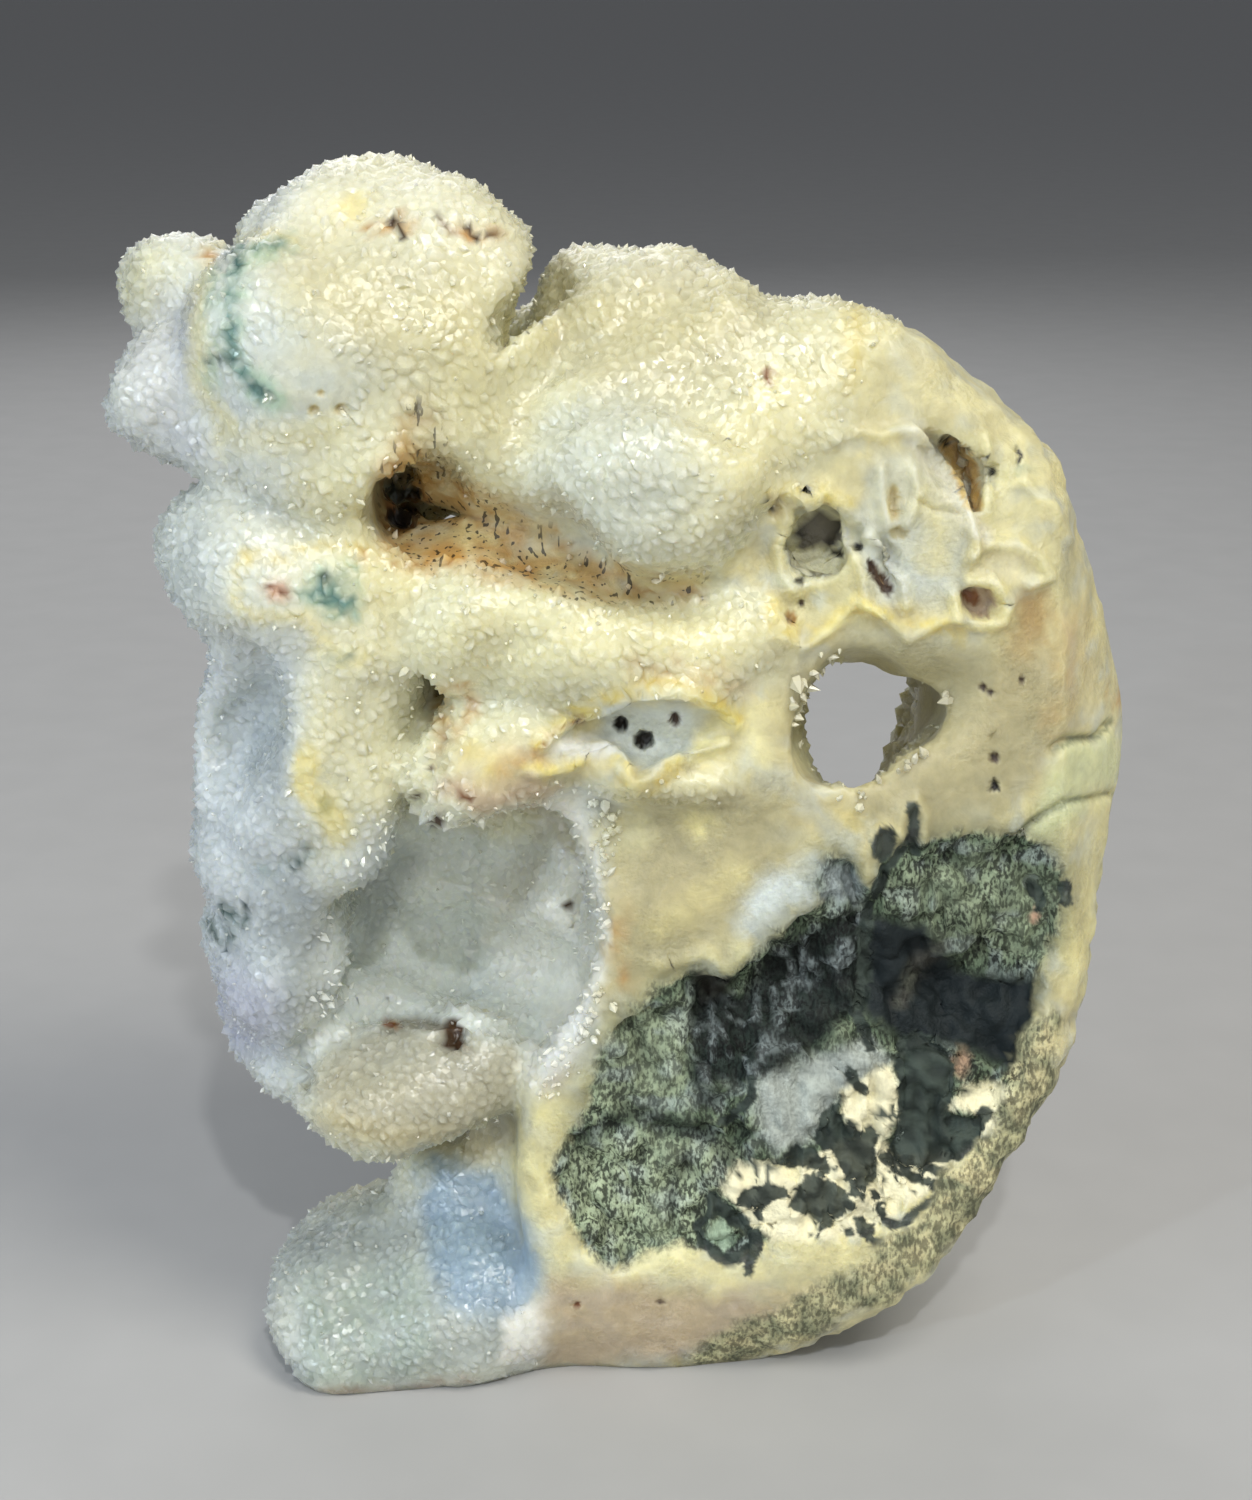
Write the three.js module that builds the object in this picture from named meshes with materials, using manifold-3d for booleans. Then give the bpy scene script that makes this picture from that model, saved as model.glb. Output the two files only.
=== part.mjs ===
// A drusy chalcedony, 118 mm tall: one natural stone that stands upright on a flat base.
// Sugary quartz lumps grew round a flat, waxy body. A hollow opens at its left between a column
// and the body, a hole goes through the upper right, and a rough green recess lies below it.
// Millimetres, +Z up, +X to the viewer's right, and the viewer in front, at -Y.
import * as THREE from "three";
import { mergeVertices } from "three/addons/utils/BufferGeometryUtils.js";
import Module from "manifold-3d";

// Driving dimensions of the stone as a whole
const WIDTH = 98;
const DEPTH = 50;
const HEIGHT = 118;
const CENTRE_X = 0.5;
const CENTRE_Y = -0.8;

// The flat body between its waxy front face and its rounded back
const FRONT = -20;
const FRONT_LEAN = { from: 20, slope: 0.03 };
const BACK = { at: 12, curveX: 0.006, middleX: 8, curveZ: 0.002, middleZ: 50 };
const EDGE_ROUND = 3.5;
const BACK_ROUND = 14;
const TOP_ROLL = { from: 84, curve: 0.006 };
const RIGHT_ROLL = { from: 12, curve: 0.004 };
const FOOT_ROLL = { from: 14, curve: 0.02 };
const RIGHT_BEVEL = { from: 41.5, slope: 1.1, lean: 0.1, middleZ: 60 };

// The rough green recess: its ragged lip, its floor, and the crags that fade out behind the front
const RECESS_LIP = 2.2;
const RECESS_SPREAD = 0.4;
const RECESS_WAVES = [
  { swing: 0.4, x: 1.9, y: 0, z: 0.7, start: 0 },
  { swing: 0.3, x: -1.1, y: 0, z: 2.3, start: 1 },
];
const RECESS_FLOOR = 2;
const CRAG_SIZE = 3.4;
const CRAG_HEIGHT = 1.8;
const CRAG_MIDDLE = 0.6;
const CRAG_FADE = { from: -8, over: 4 };

// Rounded knobs all over the sugary lumps, and how the lumps melt into the waxy body
const KNOB_SIZE = 6.2;
const KNOB_HEIGHT = 1.1;
const KNOB_MIDDLE = 0.5;
const SUGAR_FADE = 3;
const DRUSE_BLEND = 3;

// A slow waver along each axis, as waves across X, Y and Z, and the share of it that bends the body
const BODY_WAVER = 0.35;
const WAVER = [
  [{ swing: 0.9, x: 0, y: 0.21, z: 0.17, start: 1 }, { swing: 0.3, x: 0, y: -0.31, z: 0.43, start: 0.5 }],
  [{ swing: 1, x: 0.19, y: 0, z: 0.16, start: 2 }, { swing: 0.3, x: 0.41, y: 0, z: -0.37, start: 0 }],
  [{ swing: 0.9, x: 0.22, y: 0.18, z: 0, start: 4 }, { swing: 0.3, x: 0.45, y: -0.29, z: 0, start: 1.7 }],
];

// Spacing of the points at which the form is worked out, the number of facets that are left of it,
// and how strictly the facets follow it in front and behind
const GRID = 1.15;
const TRIANGLES = 7400;
const FRONT_CARE = 1.8;
const BACK_CARE = 0.6;
const LEAST_FACING = 0.2;
const LEAST_FULLNESS = 0.05;
const NODE_MARGIN = 0.02;
const SHORT_EDGE_WORTH = 0.004;

// Outlines across X and Z, each a closed smooth curve
const OUTLINE_STEPS = 3;
const BODY_OUTLINE = [
  [6, 106.3], [12.5, 104.4], [18, 105.6], [24.5, 104.2], [31.5, 99], [40, 91.2], [45.8, 79], [55.2, 66],
  [49, 54], [45.4, 39], [38.8, 22.5], [27, 7.5], [10, -3], [-9, -6],
  [-10, 12], [-10, 31], [-3, 45], [-6, 58], [-12, 70], [-10, 90],
];
const RECESS_OUTLINE = [
  [-6.3, 19.7], [-7.3, 23.1], [-5.8, 26.6], [-3.5, 30.8], [-3.1, 35.4], [0.3, 39.9], [5.7, 44.2], [8.8, 43.5],
  [12.1, 45.7], [15.4, 49], [17.7, 51], [18, 54.7], [19.3, 55.8], [21.6, 54.7], [22.8, 52.2], [24.1, 55.3],
  [26.9, 56.9], [32.8, 57.2], [38.5, 56.5], [41.5, 53], [41.8, 48], [40, 42.1], [39.4, 36.1], [37.2, 29.8],
  [33.9, 24.6], [29.2, 20.1], [24.1, 16.6], [18.9, 16.4], [12.9, 15.7], [10.7, 13.3], [4.9, 15], [-0.4, 12.6],
  [-4.5, 15],
];

// Swellings and dips of the front face: place, half sizes, height towards -Y
const FACE_RELIEF = [
  { at: [3, 60], half: [12, 5], rise: -1.3 },
  { at: [12, 64], half: [7, 7], rise: 1.2 },
  { at: [34, 82], half: [9, 8], rise: 1.0 },
  { at: [2, 52], half: [7, 7], rise: 1.0 },
];

// Bays of the green recess: place, half sizes, how much deeper than its floor
const RECESS_BAYS = [
  { at: [13, 42], half: [6.5, 5.5], rise: 4.5 },
  { at: [31, 40.5], half: [8, 5.5], rise: 5.5 },
  { at: [22.5, 51], half: [1.8, 5], rise: 2.6 },
  { at: [1, 22], half: [5, 6], rise: 1.0 },
  { at: [15.5, 31], half: [4, 4.5], rise: -1.4 },
  { at: [20, 20], half: [14, 4], rise: -1.0 },
];

// Lumps that are fused to the body: centre, half sizes, softness of the join, turn about Y in degrees
const LUMPS = {
  crownBall: { at: [-28, -9.5, 100], half: [13.4, 13.5, 13.6], blend: 2.5 },
  crownRidge: { at: [-20.4, -5, 108.8], half: [13, 12, 8.3], blend: 2, turn: -4 },
  crownPeak: { at: [-28, -5, 110.9], half: [7.5, 8, 5.8], blend: 2, turn: 10 },
  crownLeftKnob: { at: [-41.2, -4, 105.8], half: [6, 8, 6], blend: 1.4 },
  crownLowerLeft: { at: [-39.5, -8, 97.4], half: [7, 9, 7.2], blend: 1.8 },
  crownRightBulge: { at: [-16.5, -10, 102.5], half: [10, 10, 8.5], blend: 2.5 },
  crownChin: { at: [-26.5, -14, 93], half: [11, 9, 6.5], blend: 2.5 },
  cheek: { at: [-32.6, -11, 82], half: [10.3, 12, 8.6], blend: 2 },
  cheekInner: { at: [-25, -13.5, 80], half: [8.5, 9.5, 10], blend: 3 },
  columnUpper: { at: [-29.6, -11, 66], half: [11.3, 11, 15], blend: 4 },
  columnMiddle: { at: [-32.4, -9, 54.5], half: [8.2, 11, 10], blend: 4 },
  columnLower: { at: [-33.8, -5, 42.5], half: [7.4, 12, 11], blend: 3 },
  columnToe: { at: [-33.2, -2, 32.4], half: [8.4, 10, 7.2], blend: 2.5 },
  ball: { at: [2, -14.5, 91.5], half: [12, 11.5, 10], blend: 3 },
  ballHood: { at: [0.2, -3, 99.8], half: [12, 13, 9.2], blend: 2 },
  hoodLeft: { at: [-3, -4, 102.4], half: [5.6, 9.5, 7.6], blend: 2 },
  saddle: { at: [-13.5, -9, 94.5], half: [8, 10, 9], blend: 2.5 },
  shoulder: { at: [15, -5, 94], half: [12, 12, 10], blend: 4 },
  ridgeLeft: { at: [-15, -14.5, 77.5], half: [7.6, 9, 7.8], blend: 2 },
  ridgeMiddle: { at: [-6, -15, 75.5], half: [10, 8, 7.4], blend: 3 },
  ridgeRight: { at: [5, -14, 76], half: [10, 8, 7], blend: 4 },
  nose: { at: [-11.5, -15.5, 64.6], half: [9, 8, 6.8], blend: 2.5, turn: 8 },
  lowerLid: { at: [2, -17.6, 64.2], half: [9.5, 4.4, 2.2], blend: 2, turn: -3 },
  cavityWall: { at: [-20, 10, 47], half: [22, 10, 24], blend: 4 },
  cavitySkirt: { at: [-28, 2, 36], half: [12, 9, 8.5], blend: 3 },
  cavityBudRight: { at: [-10, 3, 47], half: [7, 6, 7.5], blend: 2 },
  cavityBudLeft: { at: [-22, 4, 49], half: [9, 5, 9], blend: 3 },
  shelf: { at: [-20.5, -9.5, 29.6], half: [12.6, 10.5, 6.2], blend: 1.4, turn: 4 },
  flank: { at: [-9, 3, 17], half: [9.5, 15, 20], blend: 4 },
  foot: { at: [-19.5, -8, 3.5], half: [14.8, 15, 10], blend: 2.5, turn: 10 },
  footEnd: { at: [-28.4, -9, 3.4], half: [8.6, 13.6, 8], blend: 2.5 },
  footHump: { at: [-17, -3, 14], half: [6.5, 8, 6], blend: 2, turn: 20 },
  backUpperLeft: { at: [-24, 8, 95], half: [15, 12, 13], blend: 4, turn: 10 },
  backUpperMiddle: { at: [0, 9, 92], half: [15, 11, 12], blend: 4 },
  backUpperRight: { at: [22, 8, 84], half: [14, 11, 13], blend: 5, turn: -20 },
  backRight: { at: [35, 6, 57], half: [11, 11, 17], blend: 5 },
  backMiddle: { at: [3, 12, 73], half: [14, 9, 13], blend: 4, turn: 15 },
  backLowerRight: { at: [22, 10, 30], half: [15, 11, 14], blend: 5, turn: 20 },
  backLower: { at: [0, 11, 20], half: [15, 11, 17], blend: 4 },
  backLeft: { at: [-25, 9, 70], half: [13, 10, 12], blend: 3 },
  backCentre: { at: [2, 13, 48], half: [12, 8, 13], blend: 3 },
};

// Hollows, gaps and pits, taken away in this order; pitch is the turn about X in degrees
const HOLLOWS = {
  cavity: { at: [-15.5, -14, 51], half: [12.5, 17, 13], blend: 2.5, turn: 16 },
  cavityLow: { at: [-16, -9, 40], half: [13, 11, 6.5], blend: 2 },
  underShelf: { at: [-31, -4, 20.5], half: [14.5, 40, 3.6], blend: 2, turn: 4 },
  underBallLeft: { at: [-18, -20, 88.5], half: [5.5, 9, 5.5], blend: 2 },
  underBallMiddle: { at: [-10, -22.5, 85.5], half: [9, 9, 4.4], blend: 2, turn: -12 },
  underBallRight: { at: [2, -25, 82], half: [9.5, 8, 2.6], blend: 2, turn: -6 },
  underBallHole: { at: [-20.5, -15, 89], half: [2.6, 10, 3.6], blend: 1 },
  crownNotch: { at: [-7.6, 0, 108.3], half: [1.4, 60, 6.8], blend: 0.6, turn: 20, pitch: -8 },
  lobeNotch: { at: [-44.8, -8, 88.7], half: [5.6, 18, 1.7], blend: 1, turn: 8 },
  slot: { at: [-18.3, -18, 71], half: [1.6, 8, 4.5], blend: 0.8, turn: -10 },
  windowDish: { at: [27.6, -24.5, 70.8], half: [10, 10.5, 6], blend: 2.5, turn: 12 },
  window: { at: [21.5, -17, 67.8], half: [5.9, 40, 6.8], blend: 1, pitch: -13 },
  windowRight: { at: [24.4, -15, 68], half: [5.6, 40, 4], blend: 0.8, turn: 12, pitch: -13 },
  windowBack: { at: [21, 13, 61.5], half: [9.5, 18, 10.5], blend: 3 },
  columnHollow: { at: [-35.5, -21, 67.5], half: [5, 8, 8], blend: 3, turn: -20 },
  dimple: { at: [14, -25, 84], half: [6, 6, 6], blend: 4 },
  eye: { at: [1.8, -22.6, 68.6], half: [7.6, 4, 2.7], blend: 0.8, turn: -4 },
  pitRound: { at: [17.4, -17.8, 85.7], half: [3.4, 4.4, 3.1], blend: 0.8 },
  pitSlit: { at: [22.7, -18.4, 83.6], half: [1.4, 3, 2.7], blend: 0.8, turn: 20 },
  pitDeep: { at: [29.6, -16.8, 93], half: [2, 4, 3.4], blend: 0.8, turn: 35 },
  pitCorner: { at: [33, -15.8, 92.2], half: [1.5, 2.2, 1.6], blend: 0.8 },
  pitRing: { at: [32, -18, 80], half: [2.2, 1.8, 1.7], blend: 0.8 },
  pitSmall: { at: [15.3, -19.2, 79.5], half: [1.7, 2, 1.4], blend: 0.8 },
};

// Rows of larger quartz points along ragged edges: a path across X and Z, how many, how long
const CRYSTAL_ROWS = [
  { path: [[19.4, 75.2], [16.4, 71.8], [16.2, 68.4], [18.6, 63]], count: 9, length: 2.2 },
  { path: [[20.4, 61.4], [24, 62.2], [28, 66]], count: 7, length: 1.4 },
  { path: [[-1.6, 62], [-2.6, 55], [-3.6, 46], [-2, 41], [-8, 31]], count: 15, length: 2.2 },
  { path: [[-20.4, 75], [-19.8, 66], [-24.4, 57], [-28, 47], [-26.4, 34]], count: 13, length: 2.2 },
  { path: [[-37, 92], [-24, 88], [-20, 82], [-8, 84], [4, 82]], count: 8, length: 1.8 },
  { path: [[-30, 25], [-20, 24], [-12, 26]], count: 6, length: 1.8 },
];
const CRYSTAL_SLENDER = 0.42;
const CRYSTAL_NECK = 0.5;
const CRYSTAL_ROOT = 1.4;
const CRYSTAL_TILT = 0.5;
const CRYSTAL_JITTER = 0.8;
const CRYSTAL_SPREAD = 0.5;

// Repeatable random numbers from 0 to 1
function dice(seed) {
  let state = seed;
  return () => {
    state = (state + 0x6d2b79f5) | 0;
    let mixed = Math.imul(state ^ (state >>> 15), 1 | state);
    mixed = (mixed + Math.imul(mixed ^ (mixed >>> 7), 61 | mixed)) ^ mixed;
    return ((mixed ^ (mixed >>> 14)) >>> 0) / 2 ** 32;
  };
}

const clamp01 = (value) => Math.min(1, Math.max(0, value));

function smoothMin(a, b, blend) {
  const near = Math.max(blend - Math.abs(a - b), 0) / blend;
  return Math.min(a, b) - near * near * blend * 0.25;
}

function smoothMax(a, b, blend) {
  return -smoothMin(-a, -b, blend);
}

// Signed distance across X and Z to a closed smooth curve, negative inside
function outlineDistance(points) {
  const corners = points.map(([x, z]) => new THREE.Vector3(x, 0, z));
  const curve = new THREE.CatmullRomCurve3(corners, true, "catmullrom", 0.5);
  const rim = [];
  for (let i = 0; i < corners.length * OUTLINE_STEPS; i++) {
    rim.push(curve.getPoint(i / (corners.length * OUTLINE_STEPS)));
  }
  return (x, z) => {
    let nearest = Infinity;
    let inside = false;
    for (let i = 0, j = rim.length - 1; i < rim.length; j = i++) {
      const ax = rim[j].x;
      const az = rim[j].z;
      const ex = rim[i].x - ax;
      const ez = rim[i].z - az;
      const along = clamp01(((x - ax) * ex + (z - az) * ez) / (ex * ex + ez * ez));
      const dx = x - ax - ex * along;
      const dz = z - az - ez * along;
      nearest = Math.min(nearest, dx * dx + dz * dz);
      if (az > z !== rim[i].z > z && x < (ex * (z - az)) / ez + ax) inside = !inside;
    }
    return inside ? -Math.sqrt(nearest) : Math.sqrt(nearest);
  };
}

// Near-true distance to an ellipsoid that is turned about Y and then pitched about X
function ellipsoidDistance({ at, half, turn = 0, pitch = 0 }) {
  const turnCos = Math.cos(THREE.MathUtils.degToRad(turn));
  const turnSin = Math.sin(THREE.MathUtils.degToRad(turn));
  const pitchCos = Math.cos(THREE.MathUtils.degToRad(pitch));
  const pitchSin = Math.sin(THREE.MathUtils.degToRad(pitch));
  return (x, y, z) => {
    const sx = (x - at[0]) * turnCos + (z - at[2]) * turnSin;
    const sz = (z - at[2]) * turnCos - (x - at[0]) * turnSin;
    const sy = (y - at[1]) * pitchCos + sz * pitchSin;
    const tz = sz * pitchCos - (y - at[1]) * pitchSin;
    const ux = sx / half[0];
    const uy = sy / half[1];
    const uz = tz / half[2];
    const unit = Math.hypot(ux, uy, uz);
    const slope = Math.hypot(ux / half[0], uy / half[1], uz / half[2]) + 1e-9;
    return (unit * (unit - 1)) / slope;
  };
}

// Sum of soft round swellings
function relief(x, z, swellings) {
  let total = 0;
  for (const { at, half, rise } of swellings) {
    total += rise * Math.exp(-(((x - at[0]) / half[0]) ** 2) - ((z - at[1]) / half[1]) ** 2);
  }
  return total;
}

// Sum of sine waves that run across X, Y and Z
function waves(table, x, y, z) {
  let total = 0;
  for (const wave of table) {
    total += wave.swing * Math.sin(wave.x * x + wave.y * y + wave.z * z + wave.start);
  }
  return total;
}

const bodySide = outlineDistance(BODY_OUTLINE);
const recessSide = outlineDistance(RECESS_OUTLINE);

// How far the floor of the green recess lies behind the front face
function recessDepth(x, z) {
  const ragged = RECESS_SPREAD + waves(RECESS_WAVES, x, 0, z);
  const inward = clamp01((ragged - recessSide(x, z)) / RECESS_LIP);
  const lip = inward * inward * (3 - 2 * inward);
  return lip * (RECESS_FLOOR + relief(x, z, RECESS_BAYS));
}

// Y of the body's front face, with its rolls to the top, the right and the foot
function frontFace(x, z) {
  const top = TOP_ROLL.curve * Math.max(z - TOP_ROLL.from, 0) ** 2;
  const right = RIGHT_ROLL.curve * Math.max(x - RIGHT_ROLL.from, 0) ** 2;
  const foot = FOOT_ROLL.curve * Math.max(FOOT_ROLL.from - z, 0) ** 2;
  const bevelStart = RIGHT_BEVEL.from - RIGHT_BEVEL.lean * (z - RIGHT_BEVEL.middleZ);
  const bevel = RIGHT_BEVEL.slope * Math.max(x - bevelStart, 0);
  const lean = FRONT_LEAN.slope * (z - FRONT_LEAN.from);
  return FRONT + lean + top + right + foot + bevel - relief(x, z, FACE_RELIEF);
}

function bodyDistance(x, y, z) {
  const front = frontFace(x, z) + recessDepth(x, z) - y;
  const roundness = BACK.curveX * (x - BACK.middleX) ** 2 + BACK.curveZ * (z - BACK.middleZ) ** 2;
  const back = y - (BACK.at - roundness);
  return smoothMax(smoothMax(bodySide(x, z), front, EDGE_ROUND), back, BACK_ROUND);
}

// A fixed chance from 0 to 1 for each lattice cell
function chance(i, j, k, draw) {
  const mixed = 127.1 * i + 311.7 * j + 74.7 * k + 53.3 * draw;
  const wild = Math.sin(mixed) * 43758.5453;
  return wild - Math.floor(wild);
}

// Irregular rounded cobbles, one in each cell of a jittered lattice: 1 on top, 0 in the creases
function cobbles(x, y, z, size) {
  const i = Math.floor(x / size);
  const j = Math.floor(y / size);
  const k = Math.floor(z / size);
  let nearest = 1;
  for (let cell = 0; cell < 27; cell++) {
    const ci = i - 1 + (cell % 3);
    const cj = j - 1 + (Math.floor(cell / 3) % 3);
    const ck = k - 1 + Math.floor(cell / 9);
    const dx = x / size - ci - chance(ci, cj, ck, 0);
    const dy = y / size - cj - chance(ci, cj, ck, 1);
    const dz = z / size - ck - chance(ci, cj, ck, 2);
    nearest = Math.min(nearest, dx * dx + dy * dy + dz * dz);
  }
  return 1 - nearest;
}

function blobs(table) {
  return Object.values(table).map((blob) => ({ ...blob, distance: ellipsoidDistance(blob) }));
}

const lumps = blobs(LUMPS);
const hollows = blobs(HOLLOWS);

const dot = (a, b) => a[0] * b[0] + a[1] * b[1] + a[2] * b[2];

// Distance to the whole stone, negative inside it
function stoneDistance(x, y, z) {
  const [dx, dy, dz] = WAVER.map((table) => waves(table, x, y, z));
  const body = bodyDistance(x + BODY_WAVER * dx, y + BODY_WAVER * dy, z + BODY_WAVER * dz);
  let druse = Infinity;
  for (const { distance: blob, blend } of lumps) {
    druse = smoothMin(druse, blob(x + dx, y + dy, z + dz), blend);
  }
  let distance = smoothMin(body, druse, DRUSE_BLEND);
  for (const { distance: blob, blend } of hollows) {
    distance = smoothMax(distance, -blob(x + dx, y + dy, z + dz), blend);
  }
  if (Math.abs(distance) < 3 * GRID) {
    const sugary = clamp01((body - druse) / SUGAR_FADE + 0.5);
    distance -= sugary * KNOB_HEIGHT * (cobbles(x, y, z, KNOB_SIZE) - KNOB_MIDDLE);
    const onFace = clamp01((CRAG_FADE.from - y) / CRAG_FADE.over);
    const craggy = clamp01(-recessSide(x, z) / RECESS_LIP) * (1 - sugary) * onFace;
    if (craggy > 0) distance -= craggy * CRAG_HEIGHT * (cobbles(x, y, z, CRAG_SIZE) - CRAG_MIDDLE);
  }
  return Math.max(distance, -z);
}

// The stone's distance on a grid whose lowest layers lie half a cell to either side of the base
function sampleGrid() {
  const margin = 3;
  const low = [CENTRE_X - WIDTH / 2 - margin, CENTRE_Y - DEPTH / 2 - margin, -1.5 * GRID];
  const count = [
    Math.ceil((WIDTH + 2 * margin) / GRID) + 1,
    Math.ceil((DEPTH + 2 * margin) / GRID) + 1,
    Math.ceil((HEIGHT + margin) / GRID) + 3,
  ];
  const values = new Float64Array(count[0] * count[1] * count[2]);
  let node = 0;
  for (let k = 0; k < count[2]; k++) {
    for (let j = 0; j < count[1]; j++) {
      for (let i = 0; i < count[0]; i++) {
        values[node++] = stoneDistance(low[0] + i * GRID, low[1] + j * GRID, low[2] + k * GRID);
      }
    }
  }
  return { low, count, values };
}

// The zero surface of the grid, by six tetrahedra in each cell, as one closed mesh
function skin({ low, count, values }) {
  const stride = [1, count[0], count[0] * count[1]];
  const corner = [0, 1, 2, 3, 4, 5, 6, 7].map(
    (bits) => (bits & 1) * stride[0] + ((bits >> 1) & 1) * stride[1] + (bits >> 2) * stride[2],
  );
  const tetrahedra = [[0, 1, 3, 7], [0, 1, 5, 7], [0, 2, 3, 7], [0, 2, 6, 7], [0, 4, 5, 7], [0, 4, 6, 7]];
  const points = [];
  const triangles = [];
  const crossings = new Map();

  const place = (node) => [
    low[0] + (node % count[0]) * GRID,
    low[1] + (Math.floor(node / stride[1]) % count[1]) * GRID,
    low[2] + Math.floor(node / stride[2]) * GRID,
  ];
  const crossing = (inside, outside) => {
    const key = Math.min(inside, outside) * values.length + Math.max(inside, outside);
    if (!crossings.has(key)) {
      const share = values[inside] / (values[inside] - values[outside]);
      const from = place(inside);
      const to = place(outside);
      crossings.set(key, points.length);
      const kept = Math.min(1 - NODE_MARGIN, Math.max(NODE_MARGIN, share));
      points.push(from.map((value, axis) => value + kept * (to[axis] - value)));
    }
    return crossings.get(key);
  };
  const addTriangle = (a, b, c, inner, outer) => {
    const normal = faceNormal(points[a], points[b], points[c]);
    const from = place(inner);
    const to = place(outer);
    const facing = dot(normal, to.map((value, axis) => value - from[axis]));
    triangles.push(facing > 0 ? [a, b, c] : [a, c, b]);
  };

  for (let k = 0; k < count[2] - 1; k++) {
    for (let j = 0; j < count[1] - 1; j++) {
      for (let i = 0; i < count[0] - 1; i++) {
        const first = i + j * stride[1] + k * stride[2];
        const filled = corner.filter((step) => values[first + step] < 0).length;
        if (filled === 0 || filled === 8) continue;
        for (const tetrahedron of tetrahedra) {
          const nodes = tetrahedron.map((bits) => first + corner[bits]);
          const inner = nodes.filter((node) => values[node] < 0);
          const outer = nodes.filter((node) => values[node] >= 0);
          if (inner.length === 1) {
            addTriangle(...outer.map((node) => crossing(inner[0], node)), inner[0], outer[0]);
          } else if (inner.length === 3) {
            addTriangle(...inner.map((node) => crossing(node, outer[0])), inner[0], outer[0]);
          } else if (inner.length === 2) {
            const [a, b] = inner;
            const [c, d] = outer;
            const ring = [crossing(a, c), crossing(a, d), crossing(b, d), crossing(b, c)];
            addTriangle(ring[0], ring[1], ring[2], a, c);
            addTriangle(ring[0], ring[2], ring[3], a, c);
          }
        }
      }
    }
  }
  return { points, triangles };
}

function faceNormal(a, b, c) {
  const ux = b[0] - a[0];
  const uy = b[1] - a[1];
  const uz = b[2] - a[2];
  const vx = c[0] - a[0];
  const vy = c[1] - a[1];
  const vz = c[2] - a[2];
  return [uy * vz - uz * vy, uz * vx - ux * vz, ux * vy - uy * vx];
}

// Twice a triangle's area over the square of its longest side
function fullness(corners) {
  let longest = 0;
  corners.forEach((from, i) => {
    const to = corners[(i + 1) % 3];
    longest = Math.max(longest, (to[0] - from[0]) ** 2 + (to[1] - from[1]) ** 2 + (to[2] - from[2]) ** 2);
  });
  return Math.hypot(...faceNormal(...corners)) / (longest + 1e-12);
}

// Sum of squared distances to weighted planes, as the ten numbers of a symmetric matrix
function addPlane(quadric, normal, offset, weight) {
  const [x, y, z] = normal;
  const terms = [
    x * x, x * y, x * z, x * offset,
    y * y, y * z, y * offset,
    z * z, z * offset,
    offset * offset,
  ];
  terms.forEach((term, i) => {
    quadric[i] += weight * term;
  });
}

function planeError(q, [x, y, z]) {
  const squares = q[0] * x * x + q[4] * y * y + q[7] * z * z + q[9];
  const products = q[1] * x * y + q[2] * x * z + q[5] * y * z + q[3] * x + q[6] * y + q[8] * z;
  return squares + 2 * products;
}

// The point that lies nearest to all the planes, or null where they don't settle it
function flattestPoint(q) {
  const minorX = q[4] * q[7] - q[5] * q[5];
  const minorY = q[1] * q[7] - q[5] * q[2];
  const minorZ = q[1] * q[5] - q[4] * q[2];
  const determinant = q[0] * minorX - q[1] * minorY + q[2] * minorZ;
  const size = q[0] + q[4] + q[7];
  if (Math.abs(determinant) < 1e-4 * size ** 3) return null;
  const x = -q[3] * minorX + q[1] * (q[6] * q[7] - q[5] * q[8]) - q[2] * (q[6] * q[5] - q[4] * q[8]);
  const y = -q[0] * (q[6] * q[7] - q[8] * q[5]) + q[3] * minorY - q[2] * (q[1] * q[8] - q[6] * q[2]);
  const z = -q[0] * (q[4] * q[8] - q[5] * q[6]) + q[1] * (q[1] * q[8] - q[6] * q[2]) - q[3] * minorZ;
  return [x / determinant, y / determinant, z / determinant];
}

// A heap that gives back its cheapest entry first
class CheapestFirst {
  constructor() {
    this.entries = [];
  }

  push(entry) {
    const { entries } = this;
    let place = entries.push(entry) - 1;
    while (place > 0) {
      const parent = (place - 1) >> 1;
      if (entries[parent].cost <= entry.cost) break;
      entries[place] = entries[parent];
      place = parent;
    }
    entries[place] = entry;
  }

  pop() {
    const { entries } = this;
    const cheapest = entries[0];
    const last = entries.pop();
    if (entries.length > 0) {
      let place = 0;
      while (2 * place + 1 < entries.length) {
        let child = 2 * place + 1;
        if (child + 1 < entries.length && entries[child + 1].cost < entries[child].cost) child++;
        if (entries[child].cost >= last.cost) break;
        entries[place] = entries[child];
        place = child;
      }
      entries[place] = last;
    }
    return cheapest;
  }
}

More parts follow.
